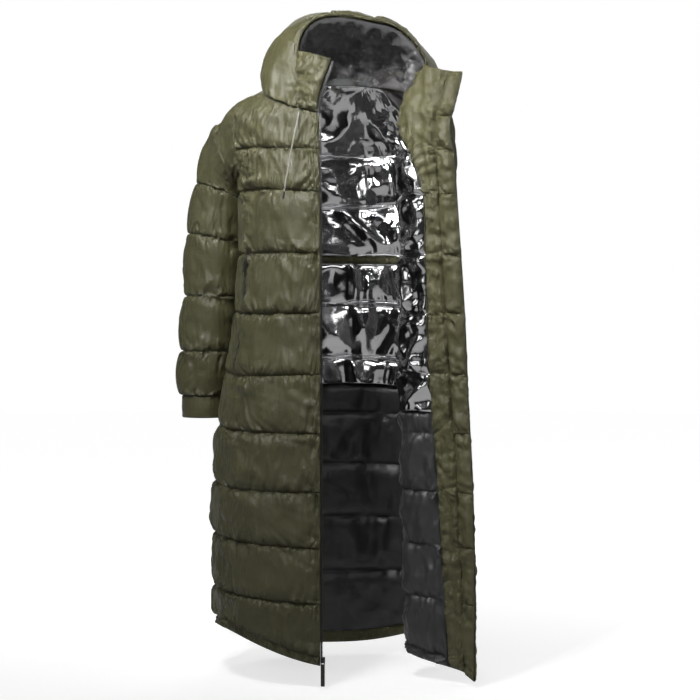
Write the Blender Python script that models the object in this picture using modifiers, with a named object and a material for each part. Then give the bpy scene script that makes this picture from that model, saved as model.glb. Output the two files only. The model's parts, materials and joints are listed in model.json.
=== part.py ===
"""Long hooded puffer coat, hollow and filled out as if worn, open at the front.

The coat hangs from the wearer's shoulders. +X is the wearer's left, -Y the front, +Z up, and the
origin is the middle of the neck opening. The right front lies in its worn place; the left front is
turned back about a soft upright fold, so that its facing and lining show. Units are metres.

The body, from the right zip edge round the back to the left storm flap, is one surface that is read
by two numbers: girth (0 right zip edge, 1 right side seam, 2 centre back, 3 left side seam, 4 fold
of the left front, 5 left zip line, 6 edge of the storm flap) and row (0 hem, 1 hem stitching,
2 to 10 quilting seams, 11 neckline, 12 top of the collar).
"""
import math
from collections import namedtuple
from functools import lru_cache

import bmesh
import bpy
from mathutils import Matrix, Vector

# ---------------------------------------------------------------- driving sizes
SHELL = 0.0025          # shell cloth and its seam allowance at a stitched seam
LINING = 0.0018         # lining cloth
GAP = 0.0003            # between the pieces at a seam
LOFT = 0.019            # how far a full quilting channel stands off its seams
LOFT_PER_HEIGHT = 0.17  # a low channel stands off less
YOKE_LOFT = 0.010       # between the first quilting seam and the neckline
YOKE_EASE = 2.5         # the yoke swells more gently from its raglan seams than the channels do
HEM_LOFT = 0.0015
LINING_LOFT = 0.006     # the lining's own channels, towards the wearer
ROUNDNESS = 2.4         # corner exponent of the body's section
GIRTH_GAP = 0.0006      # half a seam gap, as a share of one girth station
SLEEVE_GAP = 0.0028     # the same at the raglan seams, which run aslant
ROW_GAP = 0.002         # half a seam gap, as a share of one row
CORD_DIAMETER = 0.0032

# ---------------------------------------------------------------- body tables
# Half widths and depths of the body's level section, the right zip edge, how far the right side
# seam lies in front of the widest point, and the left one behind it.
Section = namedtuple("Section", "height right left front back zip_right side side_left")
SECTIONS = (
    Section(-1.250, 0.292, 0.252, 0.247, 0.176, 0.108, 0.060, 0.000),
    Section(-1.000, 0.292, 0.252, 0.232, 0.166, 0.106, 0.060, 0.000),
    Section(-0.860, 0.292, 0.250, 0.225, 0.158, 0.105, 0.060, 0.000),
    Section(-0.740, 0.285, 0.246, 0.220, 0.154, 0.104, 0.060, 0.010),
    Section(-0.620, 0.267, 0.238, 0.215, 0.151, 0.103, 0.060, 0.020),
    Section(-0.490, 0.248, 0.228, 0.210, 0.150, 0.102, 0.058, 0.035),
    Section(-0.360, 0.238, 0.222, 0.205, 0.153, 0.101, 0.050, 0.045),
    Section(-0.250, 0.238, 0.216, 0.199, 0.157, 0.101, 0.040, 0.055),
    Section(-0.170, 0.244, 0.213, 0.192, 0.157, 0.101, 0.032, 0.060),
    Section(-0.120, 0.258, 0.213, 0.186, 0.153, 0.101, 0.030, 0.060),
    Section(-0.090, 0.264, 0.211, 0.179, 0.147, 0.101, 0.030, 0.055),
    Section(-0.067, 0.262, 0.206, 0.171, 0.140, 0.101, 0.028, 0.050),
    Section(-0.045, 0.252, 0.198, 0.156, 0.132, 0.101, 0.024, 0.045),
    Section(-0.020, 0.220, 0.180, 0.130, 0.116, 0.100, 0.020, 0.040),
    Section(0.000, 0.178, 0.155, 0.112, 0.098, 0.099, 0.016, 0.035),
    Section(0.024, 0.150, 0.132, 0.095, 0.080, 0.090, 0.012, 0.030),
    Section(0.061, 0.140, 0.120, 0.085, 0.070, 0.073, 0.010, 0.028),
)

# The turned-back left front, seen from above: where it folds, its zip line and the flap's edge.
Lapel = namedtuple("Lapel", "height fold_x fold_y zip_x zip_y edge_x edge_y")
LAPEL = (
    Lapel(-1.250, 0.100, -0.135, 0.199, -0.250, 0.206, -0.288),
    Lapel(-1.080, 0.094, -0.133, 0.194, -0.243, 0.210, -0.278),
    Lapel(-0.830, 0.089, -0.130, 0.184, -0.235, 0.207, -0.266),
    Lapel(-0.660, 0.085, -0.128, 0.172, -0.230, 0.200, -0.258),
    Lapel(-0.500, 0.088, -0.126, 0.162, -0.226, 0.195, -0.251),
    Lapel(-0.270, 0.089, -0.124, 0.150, -0.216, 0.182, -0.241),
    Lapel(-0.150, 0.088, -0.120, 0.146, -0.205, 0.175, -0.232),
    Lapel(-0.095, 0.083, -0.117, 0.144, -0.198, 0.167, -0.226),
    Lapel(-0.056, 0.085, -0.115, 0.150, -0.193, 0.178, -0.220),
    Lapel(0.000, 0.115, -0.108, 0.168, -0.188, 0.194, -0.211),
    Lapel(0.050, 0.146, -0.100, 0.182, -0.183, 0.204, -0.203),
)

# Height of each row where it crosses each girth station.
Row = namedtuple("Row", "zip_right side_right back side_left fold zip_left edge_left")
ROWS = (
    Row(-1.215, -1.157, -1.235, -1.165, -1.205, -1.238, -1.248),   # hem
    Row(-1.196, -1.137, -1.210, -1.145, -1.186, -1.218, -1.228),   # hem stitching
    Row(-1.089, -1.076, -1.071, -1.075, -1.082, -1.090, -1.092),
    Row(-0.974, -0.962, -0.946, -0.962, -0.972, -0.975, -0.975),
    Row(-0.859, -0.853, -0.825, -0.850, -0.860, -0.862, -0.862),
    Row(-0.737, -0.732, -0.709, -0.730, -0.737, -0.738, -0.738),
    Row(-0.614, -0.617, -0.584, -0.612, -0.614, -0.614, -0.614),
    Row(-0.486, -0.486, -0.461, -0.482, -0.486, -0.486, -0.486),
    Row(-0.360, -0.358, -0.357, -0.358, -0.362, -0.362, -0.362),
    Row(-0.231, -0.221, -0.245, -0.225, -0.235, -0.236, -0.236),
    Row(-0.142, -0.131, -0.129, -0.131, -0.140, -0.142, -0.142),
    Row(-0.067, 0.000, 0.024, -0.002, -0.056, -0.070, -0.072),     # neckline
    Row(0.061, 0.060, 0.080, 0.060, 0.050, 0.028, 0.024),          # top of the collar
)
NECK_ROW = 11
COLLAR_ROW = 12

# Raglan seams: how far round from the side seam each lies, by row, from the armpit to the neck.
Armhole = namedtuple("Armhole", "row front back front_left back_left")
ARMPIT_ROW = 9.57
ARMPIT_GAP = 0.02       # the sleeve starts this much above it, in rows
ARMHOLES = (
    Armhole(ARMPIT_ROW, 0.000, 0.000, 0.000, 0.000),
    Armhole(9.80, 0.045, 0.130, 0.060, 0.120),
    Armhole(10.00, 0.070, 0.240, 0.120, 0.220),
    Armhole(10.30, 0.095, 0.370, 0.170, 0.350),
    Armhole(10.60, 0.110, 0.460, 0.200, 0.440),
    Armhole(10.85, 0.200, 0.520, 0.280, 0.500),
    Armhole(11.00, 0.430, 0.580, 0.430, 0.560),
)

# Sleeves: level rings below the seam that runs out of the armpit. lean is how much higher the
# outer side lies than the inner side.
Ring = namedtuple("Ring", "height x y half_width half_depth lean")
SLEEVE_RIGHT = (
    Ring(-0.218, -0.278, 0.104, 0.046, 0.064, 0.042),
    Ring(-0.320, -0.289, 0.119, 0.053, 0.067, 0.024),
    Ring(-0.447, -0.295, 0.122, 0.053, 0.066, 0.000),
    Ring(-0.569, -0.306, 0.124, 0.050, 0.061, 0.000),
    Ring(-0.668, -0.314, 0.120, 0.044, 0.052, 0.000),
)
SLEEVE_LEFT = (
    Ring(-0.222, 0.218, 0.182, 0.046, 0.052, 0.030),
    Ring(-0.322, 0.200, 0.190, 0.050, 0.054, 0.014),
    Ring(-0.447, 0.198, 0.200, 0.051, 0.056, 0.000),
    Ring(-0.569, 0.198, 0.204, 0.049, 0.054, 0.000),
    Ring(-0.668, 0.198, 0.200, 0.044, 0.048, 0.000),
)
CUFF_HEIGHT = 0.048
CUFF_WALL = 0.004

# Hood: its crown line from the rim back to the nape, along the right gusset seam, and how far
# the side panels stand out at their foot and at their head.
Crown = namedtuple("Crown", "share half_gusset y height foot_out foot_up head_out")
CROWN = (
    Crown(0.00, 0.050, -0.090, 0.149, 0.004, 0.100, 0.092),
    Crown(0.20, 0.048, -0.035, 0.162, 0.012, 0.075, 0.094),
    Crown(0.40, 0.046, 0.035, 0.158, 0.024, 0.060, 0.096),
    Crown(0.60, 0.044, 0.098, 0.130, 0.032, 0.052, 0.088),
    Crown(0.80, 0.042, 0.138, 0.078, 0.040, 0.032, 0.068),
    Crown(0.93, 0.041, 0.140, 0.030, 0.040, 0.010, 0.030),
    Crown(1.00, 0.040, 0.096, 0.022, 0.010, 0.002, 0.006),
)
HOOD_WALL = 0.0045
HOOD_FOOT = 0.024       # how far above the neckline the hood starts, in rows
HOOD_LEAN = 0.011       # the left gusset seam lies lower than the right one
RIM_WIDTH = 0.016
RIM_WALL = 0.0022

# Columns of the body's pieces, as shares of their width, and the rows of their solids.
FRONT_COLUMNS = (0.0, 0.06, 0.26, 0.50, 0.74, 0.93, 1.0)
BACK_COLUMNS = (0.0, 0.05, 0.16, 0.28, 0.50, 0.72, 0.84, 0.95, 1.0)
LEFT_COLUMNS = (0.0, 0.08, 0.32, 0.66, 1.0)      # from the side seam to the facing's inner edge
FACING_COLUMNS = (0.0, 0.30, 0.65, 1.0)          # from there to the zip line
COLLAR_COLUMN = 0.26    # the front's column where the hood takes over from the collar
GUSSET_COLUMNS = (0.28, 0.72)
NECK_STEPS = 4          # of the sleeve's stretch of the neckline
CHANNEL_STEPS = 3

# ---------------------------------------------------------------- materials
Finish = namedtuple("Finish", "color roughness metallic")
FINISHES = {
    "olive_nylon": Finish((0.120, 0.115, 0.068), 0.45, 0.0),
    "olive_facing": Finish((0.130, 0.122, 0.075), 0.50, 0.0),
    "hood_lining": Finish((0.080, 0.078, 0.085), 0.55, 0.0),
    "silver_film": Finish((0.600, 0.600, 0.620), 0.15, 1.0),
    "black_lining": Finish((0.020, 0.020, 0.022), 0.50, 0.0),
    "dark_zip": Finish((0.030, 0.030, 0.028), 0.45, 0.0),
    "dark_metal": Finish((0.060, 0.060, 0.058), 0.35, 0.8),
    "grey_cord": Finish((0.300, 0.295, 0.270), 0.70, 0.0),
}


def clear_scene():
    for item in list(bpy.data.objects):
        bpy.data.objects.remove(item)


def collection(name):
    group = bpy.data.collections.new(name)
    bpy.context.scene.collection.children.link(group)
    return group


@lru_cache(maxsize=None)
def material(name):
    finish = FINISHES[name]
    made = bpy.data.materials.new(name)
    made.use_nodes = True
    shader = made.node_tree.nodes["Principled BSDF"]
    shader.inputs["Base Color"].default_value = (*finish.color, 1.0)
    shader.inputs["Roughness"].default_value = finish.roughness
    shader.inputs["Metallic"].default_value = finish.metallic
    return made


# ---------------------------------------------------------------- curves
def through(keys, values, at):
    """Smooth curve through values at rising keys, held level beyond the ends."""
    if at <= keys[0]:
        return values[0]
    if at >= keys[-1]:
        return values[-1]
    last = len(keys) - 1
    i = max(k for k in range(last) if keys[k] <= at)
    step = keys[i + 1] - keys[i]
    u = (at - keys[i]) / step

    def slope(k):
        low, high = max(k - 1, 0), min(k + 1, last)
        return (values[high] - values[low]) / (keys[high] - keys[low]) * step

    a = values[i] * (1 + 2 * u) * (1 - u) ** 2 + values[i + 1] * (3 - 2 * u) * u ** 2
    return a + slope(i) * u * (1 - u) ** 2 - slope(i + 1) * (1 - u) * u ** 2


def read(table, name, at, key="height"):
    keys = tuple(getattr(row, key) for row in table)
    return through(keys, tuple(getattr(row, name) for row in table), at)


def bezier(a, b, c, d, t):
    s = 1 - t
    return a * s ** 3 + b * (3 * s * s * t) + c * (3 * s * t * t) + d * t ** 3


@lru_cache(maxsize=None)
def section(height):
    return Section(height, *(read(SECTIONS, name, height) for name in Section._fields[1:]))


@lru_cache(maxsize=None)
def lapel(height):
    return Lapel(height, *(read(LAPEL, name, height) for name in Lapel._fields[1:]))


@lru_cache(maxsize=None)
def row_height(girth, row):
    """Height of a row at a girth station, both between the tables' entries too."""
    row = min(max(row, 0.0), COLLAR_ROW)
    i = min(int(row), COLLAR_ROW - 1)
    stations = tuple(range(len(Row._fields)))
    low = through(stations, tuple(ROWS[i]), girth)
    high = through(stations, tuple(ROWS[i + 1]), girth)
    return low + (high - low) * (row - i)


# ---------------------------------------------------------------- the body's surface
FOLD_VIEW = Vector((-0.17, -0.985))   # way the cloth runs at the fold of the left front
FOLD_REACH_BACK = 0.055
FOLD_REACH_ON = 0.030
SIDE_REACH = 0.115


def ring_at(s, angle):
    """Point of a level section: angle 90 degrees in front, 0 at the right, -90 behind."""
    power = 2 / ROUNDNESS
    width = -s.right if angle > -math.pi / 2 else s.left
    depth = -s.front if angle > 0 else s.back
    return Vector((width * abs(math.cos(angle)) ** power, depth * abs(math.sin(angle)) ** power))


@lru_cache(maxsize=None)
def body_point(girth, row):
    height = row_height(girth, row)
    s = section(round(height, 7))
    left_angle = math.asin((max(s.side_left, 0.0) / s.back) ** (ROUNDNESS / 2)) - math.pi
    if girth <= 3:
        zip_angle = math.acos(min(1.0, (s.zip_right / s.right) ** (ROUNDNESS / 2)))
        side_angle = math.asin((s.side / s.front) ** (ROUNDNESS / 2))
        if girth <= 1:
            angle = zip_angle + (side_angle - zip_angle) * girth
        elif girth <= 2:
            angle = side_angle + (-math.pi / 2 - side_angle) * (girth - 1)
        else:
            angle = -math.pi / 2 + (left_angle + math.pi / 2) * (girth - 2)
        return Vector((*ring_at(s, angle), height))
    c = lapel(round(height, 7))
    fold = Vector((c.fold_x, c.fold_y))
    zip_line = Vector((c.zip_x, c.zip_y))
    edge = Vector((c.edge_x, c.edge_y))
    if girth <= 4:
        side = ring_at(s, left_angle)
        onward = (side - ring_at(s, left_angle + 0.02)).normalized()
        flat = bezier(side, side + onward * SIDE_REACH, fold - FOLD_VIEW * FOLD_REACH_BACK,
                      fold, girth - 3)
    elif girth <= 5:
        out = (edge - zip_line).normalized()
        flat = bezier(fold, fold + FOLD_VIEW * FOLD_REACH_ON,
                      zip_line - out * FOLD_REACH_ON, zip_line, girth - 4)
    else:
        flat = zip_line + (edge - zip_line) * (girth - 5)
    return Vector((flat.x, flat.y, height))


def slopes(surface, a, b, step=0.004):
    along_a = surface(a + step, b) - surface(a - step, b)
    along_b = surface(a, b + step) - surface(a, b - step)
    return along_a, along_b


@lru_cache(maxsize=None)
def body_normal(girth, row):
    """Unit normal away from the wearer's side of the cloth."""
    around, up = slopes(body_point, girth, min(max(row, 0.01), COLLAR_ROW - 0.01))
    return up.cross(around).normalized()


def channel_height(girth, row):
    i = min(int(row), COLLAR_ROW - 1)
    return row_height(girth, i + 1) - row_height(girth, i)


def arm_room(girth, height):
    """Channels are pressed flatter where a sleeve lies against the body."""
    near_right = math.exp(-((girth - 1.24) / 0.27) ** 2)
    near_left = math.exp(-((girth - 2.76) / 0.27) ** 2)
    along_arm = 1 / (1 + math.exp((height + 0.13) / 0.02)) / (1 + math.exp(-(height + 0.70) / 0.03))
    return 1 - 0.55 * max(near_right, near_left) * along_arm


def puff(girth, row):
    """How far a quilting channel stands off the shell's seams."""
    i = min(int(row), COLLAR_ROW - 1)
    across = max(0.0, math.sin(math.pi * (row - i))) ** 0.7
    if i == 0:
        full = HEM_LOFT
    elif i == NECK_ROW - 1:
        full = YOKE_LOFT
    else:
        full = min(LOFT, LOFT_PER_HEIGHT * channel_height(girth, row))
    return full * across * arm_room(girth, row_height(girth, row))


def edge_ease(share, sharpness=7):
    """1 in the middle of a piece, falling to 0 at its two side seams."""
    return 1 - abs(2 * share - 1) ** sharpness


# ---------------------------------------------------------------- walls
def add_mesh(name, finish, group, points, faces):
    mesh = bpy.data.meshes.new(name)
    mesh.from_pydata([tuple(p) for p in points], [], faces)
    mesh.materials.append(material(finish))
    work = bmesh.new()
    work.from_mesh(mesh)
    bmesh.ops.recalc_face_normals(work, faces=work.faces)
    work.to_mesh(mesh)
    work.free()
    mesh.shade_smooth()
    mesh.set_sharp_from_angle(angle=math.radians(50))
    made = bpy.data.objects.new(name, mesh)
    group.objects.link(made)
    return made


def wall(name, finish, group, outer, inner, closed=False):
    """Closed wall between two grids of points; closed grids join their last column to the first."""
    rows, columns = len(outer), len(outer[0])
    points = [p for line in outer for p in line] + [p for line in inner for p in line]
    inside = rows * columns

    def at(i, j, side):
        return side * inside + i * columns + j % columns

    faces = []
    spans = columns if closed else columns - 1
    for i in range(rows - 1):
        for j in range(spans):
            faces.append([at(i, j, 0), at(i, j + 1, 0), at(i + 1, j + 1, 0), at(i + 1, j, 0)])
            faces.append([at(i, j, 1), at(i + 1, j, 1), at(i + 1, j + 1, 1), at(i, j + 1, 1)])
    for j in range(spans):
        for i in (0, rows - 1):
            faces.append([at(i, j, 0), at(i, j + 1, 0), at(i, j + 1, 1), at(i, j, 1)])
    if not closed:
        for i in range(rows - 1):
            for j in (0, columns - 1):
                faces.append([at(i, j, 0), at(i + 1, j, 0), at(i + 1, j, 1), at(i, j, 1)])
    return add_mesh(name, finish, group, points, faces)


def body_rows(first, last, steps=CHANNEL_STEPS):
    """Rows of a piece of the body, closer together where the armhole curves."""
    rows = set()
    for i in range(int(first), math.ceil(last)):
        parts = 1 if i == 0 else steps
        rows.update(i + k / parts for k in range(parts + 1))
    rows = {r for r in rows if r <= ARMPIT_ROW - 0.3 or r > NECK_ROW}
    rows.update(a.row for a in ARMHOLES)
    rows = sorted(r for r in rows if first < r < last)
    ends = (first + ROW_GAP, last - ROW_GAP)
    return [ends[0], *rows, ends[1]]


def raglan(name, row):
    if row <= ARMPIT_ROW:
        return 0.0
    keys = tuple(a.row for a in ARMHOLES)
    values = tuple(getattr(a, name) for a in ARMHOLES)
    i = max(k for k in range(len(keys) - 1) if keys[k] <= min(row, NECK_ROW) + 1e-9)
    i = min(i, len(keys) - 2)
    u = (min(row, NECK_ROW) - keys[i]) / (keys[i + 1] - keys[i])
    return values[i] + (values[i + 1] - values[i]) * u


def front_span(row):
    return GIRTH_GAP, 1 - raglan("front", row) - GIRTH_GAP


def back_span(row):
    return 1 + raglan("back", row) + GIRTH_GAP, 3 - raglan("back_left", row) - GIRTH_GAP


def left_span(row):
    """Left front from its side seam to the facing's inner edge."""
    return 3 + raglan("front_left", row) + GIRTH_GAP, facing_edge(row)


def facing_span(row):
    return facing_edge(row), 5 - GIRTH_GAP


def spread(span, columns, row):
    low, high = span(row)
    return [low + (high - low) * share for share in columns]


def front_girths(row):
    return spread(front_span, FRONT_COLUMNS, row)


def back_girths(row):
    return spread(back_span, BACK_COLUMNS, row)


def left_girths(row):
    return spread(left_span, LEFT_COLUMNS, row) + spread(facing_span, FACING_COLUMNS, row)[1:]


def left_lining_girths(row):
    girths = spread(left_span, LEFT_COLUMNS, row)
    return [*girths[:-1], girths[-1] - GIRTH_GAP]


def facing_girths(row):
    girths = spread(facing_span, FACING_COLUMNS, row)
    return [girths[0] + GIRTH_GAP, *girths[1:]]


def panel_grid(girths, rows, offset):
    """Points of a piece of the body; offset gives the distance off the surface."""
    grid = []
    for row in rows:
        line = girths(row)
        shares = [(g - line[0]) / (line[-1] - line[0]) for g in line]
        grid.append([body_point(g, row) + body_normal(g, row) * offset(g, row, s)
                     for g, s in zip(line, shares)])
    return grid


def shell_offset(girth, row, share):
    sharpness = YOKE_EASE if row > NECK_ROW - 1 else 7
    return SHELL + puff(girth, row) * edge_ease(share, sharpness)


def on_surface(girth, row, share):
    return 0.0


def body_panel(name, group, girths, first=0, last=NECK_ROW):
    rows = body_rows(first, last)
    outer = panel_grid(girths, rows, shell_offset)
    inner = panel_grid(girths, rows, on_surface)
    return wall(name, "olive_nylon", group, outer, inner)


# ---------------------------------------------------------------- linings and facing
def lining_offset(girth, row, share):
    i = int(row)
    across = max(0.0, math.sin(math.pi * (row - i))) ** 0.8
    return -GAP - LINING - LINING_LOFT * across * edge_ease(share)


def flat_offset(girth, row, share):
    return -GAP - LINING


def inner_panel(name, finish, group, girths, first, last, offset=lining_offset):
    """Lining or facing on the wearer's side of the shell."""
    rows = body_rows(first, last)
    seen = panel_grid(girths, rows, offset)
    hidden = panel_grid(girths, rows, lambda g, r, s: -GAP)
    return wall(name, finish, group, seen, hidden)


# Where the left facing's inner edge lies, by row, as a share of the way from fold to zip line.
FacingEdge = namedtuple("FacingEdge", "row share")
FACING_EDGES = (
    FacingEdge(0, 0.70), FacingEdge(3, 0.66), FacingEdge(6, 0.64), FacingEdge(8, 0.67),
    FacingEdge(9, 0.68), FacingEdge(9.7, 0.50), FacingEdge(10.3, 0.26), FacingEdge(10.7, 0.06),
    FacingEdge(11, 0.004), FacingEdge(12, 0.004),
)


def facing_edge(row):
    return 4 + read(FACING_EDGES, "share", row, key="row")


# Rows where the back lining changes cloth.
HEM_FACING_TOP = 1.0
FILM_BOTTOM = 5.50
FILM_BOTTOM_LEFT = 5.35
CHANNEL_BAND = (7.87, 8.0)


def build_linings(group):
    inner_panel("lining_back_top", "silver_film", group, back_girths, CHANNEL_BAND[1], NECK_ROW)
    inner_panel("waist_channel", "olive_facing", group, back_girths, *CHANNEL_BAND,
                offset=lambda g, r, s: -GAP - LINING - 0.002)
    inner_panel("lining_back_middle", "silver_film", group, back_girths, FILM_BOTTOM, CHANNEL_BAND[0])
    inner_panel("lining_back_low", "black_lining", group, back_girths, HEM_FACING_TOP, FILM_BOTTOM)
    inner_panel("hem_facing_back", "olive_facing", group, back_girths, 0, HEM_FACING_TOP,
                offset=flat_offset)
    inner_panel("lining_left_top", "silver_film", group, left_lining_girths, FILM_BOTTOM_LEFT, NECK_ROW)
    inner_panel("lining_left_low", "black_lining", group, left_lining_girths, 0, FILM_BOTTOM_LEFT)
    inner_panel("facing_left", "olive_facing", group, facing_girths, 0, COLLAR_ROW,
                offset=flat_offset)


# ---------------------------------------------------------------- sleeves
ARMPIT_FACING = {"right": -35.0, "left": -110.0}   # where turn 0 of a ring looks, seen from above


def ring_point(side, ring, turn):
    """Point of a sleeve's ring: turn 0 faces the armpit, and turns rise round by the front."""
    way = -1 if side == "right" else 1
    angle = math.radians(ARMPIT_FACING[side] + way * 360 * turn)
    outward = math.cos(angle) * way
    x = ring.x + ring.half_width * math.cos(angle)
    y = ring.y + ring.half_depth * math.sin(angle)
    return Vector((x, y, ring.height + ring.lean / 2 * outward))


def armhole_loop(side):
    """Girth and row of each point of an armhole, from the armpit up its front and down its back."""
    rows = [a.row for a in ARMHOLES[1:-1]]
    top = NECK_ROW - ROW_GAP
    if side == "right":
        front = [(1 - raglan("front", r) + SLEEVE_GAP, r) for r in rows]
        back = [(1 + raglan("back", r) - SLEEVE_GAP, r) for r in rows]
        neck = (1 - ARMHOLES[-1].front + SLEEVE_GAP, 1 + ARMHOLES[-1].back - SLEEVE_GAP)
        armpit = (1.0, ARMPIT_ROW + ARMPIT_GAP)
    else:
        front = [(3 + raglan("front_left", r) - SLEEVE_GAP, r) for r in rows]
        back = [(3 - raglan("back_left", r) + SLEEVE_GAP, r) for r in rows]
        neck = (3 + ARMHOLES[-1].front_left - SLEEVE_GAP, 3 - ARMHOLES[-1].back_left + SLEEVE_GAP)
        armpit = (3.0, ARMPIT_ROW + ARMPIT_GAP)
    across = [(neck[0] + (neck[1] - neck[0]) * k / NECK_STEPS, top) for k in range(NECK_STEPS + 1)]
    return [armpit, *front, *across, *back[::-1]]


SHOULDER_STEPS = 6
# How the cloth leaves the armhole, at the armpit, on its front and on its back: along the body's
# surface, straight off it, out sideways and down.
Leave = namedtuple("Leave", "along off out down")
LEAVES = {
    "right": (Leave(0.1, 1.0, 0.0, 0.2), Leave(0.8, 0.20, 0.2, 0.2), Leave(0.1, 0.7, 0.8, 0.1)),
    "left": (Leave(0.1, 1.0, 0.0, -0.3), Leave(0.8, 0.20, 0.2, 0.2), Leave(0.1, 1.0, 0.6, 0.0)),
}
NECK_LEAVES = (Leave(1.0, 0.03, 0.1, 0.0), Leave(0.3, 0.12, 0.8, 0.0))   # before and behind
LEAVE_REACH = 0.85
NECK_PRESS = 0.85       # how much flatter the sleeve's first channel is at the neckline and armpit
ENTER_REACH = 0.85


def leaving(side, k, count):
    """Mix of the armhole's leaving ways at its point k."""
    armpit, front, back = LEAVES[side]
    turn = k / count
    seam = front if turn < 0.5 else back
    near_armpit = max(0.0, 1 - min(turn, 1 - turn) / 0.20)
    near_neck = max(0.0, 1 - abs(turn - 0.5) / 0.20)
    behind = min(max((turn - 0.44) / 0.16, 0.0), 1.0)
    mixed = []
    for name in Leave._fields:
        value = getattr(seam, name)
        value += (getattr(armpit, name) - value) * near_armpit
        neck = getattr(NECK_LEAVES[0], name) * (1 - behind) + getattr(NECK_LEAVES[1], name) * behind
        value += (neck - value) * near_neck
        mixed.append(value)
    return Leave(*mixed)


def shoulder_grid(side, rings):
    """Points of the cloth from the armhole down to the first ring, row by row."""
    loop = armhole_loop(side)
    count = len(loop)
    seam = [body_point(g, r) for g, r in loop]
    columns = []
    for k, (girth, row) in enumerate(loop):
        start, end = seam[k], ring_point(side, rings[0], k / count)
        normal = body_normal(girth, row)
        along = normal.cross(seam[(k + 1) % count] - seam[k - 1]).normalized()
        if side == "left":
            along = -along
        mix = leaving(side, k, count)
        out = -mix.out if side == "right" else mix.out
        leave = along * mix.along + normal * mix.off + Vector((out, 0, -mix.down))
        chord = (end - start).length
        leave = leave.normalized() * (chord * LEAVE_REACH)
        enter = Vector((0, 0, -chord * ENTER_REACH))
        column = []
        for i in range(SHOULDER_STEPS + 1):
            u = i / SHOULDER_STEPS
            column.append(start * (1 + 2 * u) * (1 - u) ** 2 + end * (3 - 2 * u) * u ** 2
                          + leave * u * (1 - u) ** 2 - enter * (1 - u) * u ** 2)
        columns.append(column)
    return [[columns[k][i] for k in range(count)] for i in range(SHOULDER_STEPS + 1)]


def grid_normals(grid, flip):
    """Unit normals of a closed grid of points."""
    rows, columns = len(grid), len(grid[0])
    normals = []
    for i in range(rows):
        line = []
        for j in range(columns):
            around = grid[i][(j + 1) % columns] - grid[i][j - 1]
            down = grid[min(i + 1, rows - 1)][j] - grid[max(i - 1, 0)][j]
            normal = around.cross(down).normalized()
            line.append(-normal if flip else normal)
        normals.append(line)
    return normals


def build_sleeve(side, rings, group):
    """Raglan sleeve and its cuff band."""
    name = "sleeve_" + side
    grid = shoulder_grid(side, rings)
    count = len(grid[0])
    half = SHOULDER_STEPS // 2
    across = [i % half / half for i in range(SHOULDER_STEPS + 1)]
    for upper, lower in zip(rings, rings[1:]):
        for step in range(1, CHANNEL_STEPS + 1):
            u = step / CHANNEL_STEPS
            between = Ring(*(a + (b - a) * u for a, b in zip(upper, lower)))
            grid.append([ring_point(side, between, j / count) for j in range(count)])
            across.append(u % 1.0)
    lift = 3 * GAP
    grid[-1] = [p + Vector((0, 0, lift)) for p in grid[-1]]
    normals = grid_normals(grid, flip=side == "left")
    loop = armhole_loop(side)
    normals[0] = [body_normal(g, r) for g, r in loop]
    outer, inner = [], []
    for i, line in enumerate(grid):
        start = i - (i % half) if i < SHOULDER_STEPS else i - (i - SHOULDER_STEPS) % CHANNEL_STEPS
        stop = start + (half if i < SHOULDER_STEPS else CHANNEL_STEPS)
        stop = min(stop, len(grid) - 1)
        outer_line = []
        for j, point in enumerate(line):
            tall = (grid[start][j] - grid[stop][j]).length if stop > start else 0.0
            loft = min(LOFT * 0.85, LOFT_PER_HEIGHT * tall) * math.sin(math.pi * across[i]) ** 0.7
            press = 0.45 + 0.55 * (0.5 - 0.5 * math.cos(2 * math.pi * j / count))
            if i < half:
                turn = j / count
                press *= 1 - NECK_PRESS * max(0.0, 1 - abs(turn - 0.5) / 0.3)
                press *= 1 - NECK_PRESS * max(0.0, 1 - min(turn, 1 - turn) / 0.15)
            outer_line.append(point + normals[i][j] * (SHELL + loft * press))
        outer.append(outer_line)
        inner.append(list(line))
    wall(name, "olive_nylon", group, outer, inner, closed=True)

    last = rings[-1]
    outer, inner = [], []
    for height, spread in ((0.0, 0.0), (0.5, 0.001), (1.0, -0.001)):
        ring = last._replace(height=last.height - height * CUFF_HEIGHT)
        wide = ring._replace(half_width=ring.half_width + CUFF_WALL + spread,
                             half_depth=ring.half_depth + CUFF_WALL + spread)
        outer.append([ring_point(side, wide, j / count) for j in range(count)])
        inner.append([ring_point(side, ring, j / count) for j in range(count)])
    wall("cuff_" + side, "olive_nylon", group, outer, inner, closed=True)


# ---------------------------------------------------------------- hood and collar
def neckline_girths(side):
    """Girths of the hood's foot, from the collar's seam round to the gusset at the nape."""
    behind = back_girths(NECK_ROW)
    if side == "right":
        first = front_girths(NECK_ROW)[FRONT_COLUMNS.index(COLLAR_COLUMN):]
        last = behind[:BACK_COLUMNS.index(GUSSET_COLUMNS[0]) + 1]
    else:
        first = spread(left_span, LEFT_COLUMNS, NECK_ROW)[::-1]
        last = behind[:BACK_COLUMNS.index(GUSSET_COLUMNS[1]) - 1:-1]
    step = (last[0] - first[-1]) / NECK_STEPS
    return [*first, *(first[-1] + step * k for k in range(1, NECK_STEPS)), *last]


@lru_cache(maxsize=None)
def hood_shares():
    """Share of the way from the rim to the nape of each of the hood's lines, the same on both sides."""
    runs = []
    for side in ("right", "left"):
        points = [body_point(g, NECK_ROW) for g in neckline_girths(side)]
        run = [0.0]
        for a, b in zip(points, points[1:]):
            run.append(run[-1] + (b - a).length)
        runs.append([r / run[-1] for r in run])
    return tuple((a + b) / 2 for a, b in zip(*runs))


def foot_girth(side, share):
    keys, girths = hood_shares(), neckline_girths(side)
    i = max([k for k in range(len(keys) - 1) if keys[k] <= share + 1e-9] or [0])
    u = (share - keys[i]) / (keys[i + 1] - keys[i])
    return girths[i] + (girths[i + 1] - girths[i]) * u


def crown(name, share):
    return read(CROWN, name, share, key="share")


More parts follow.
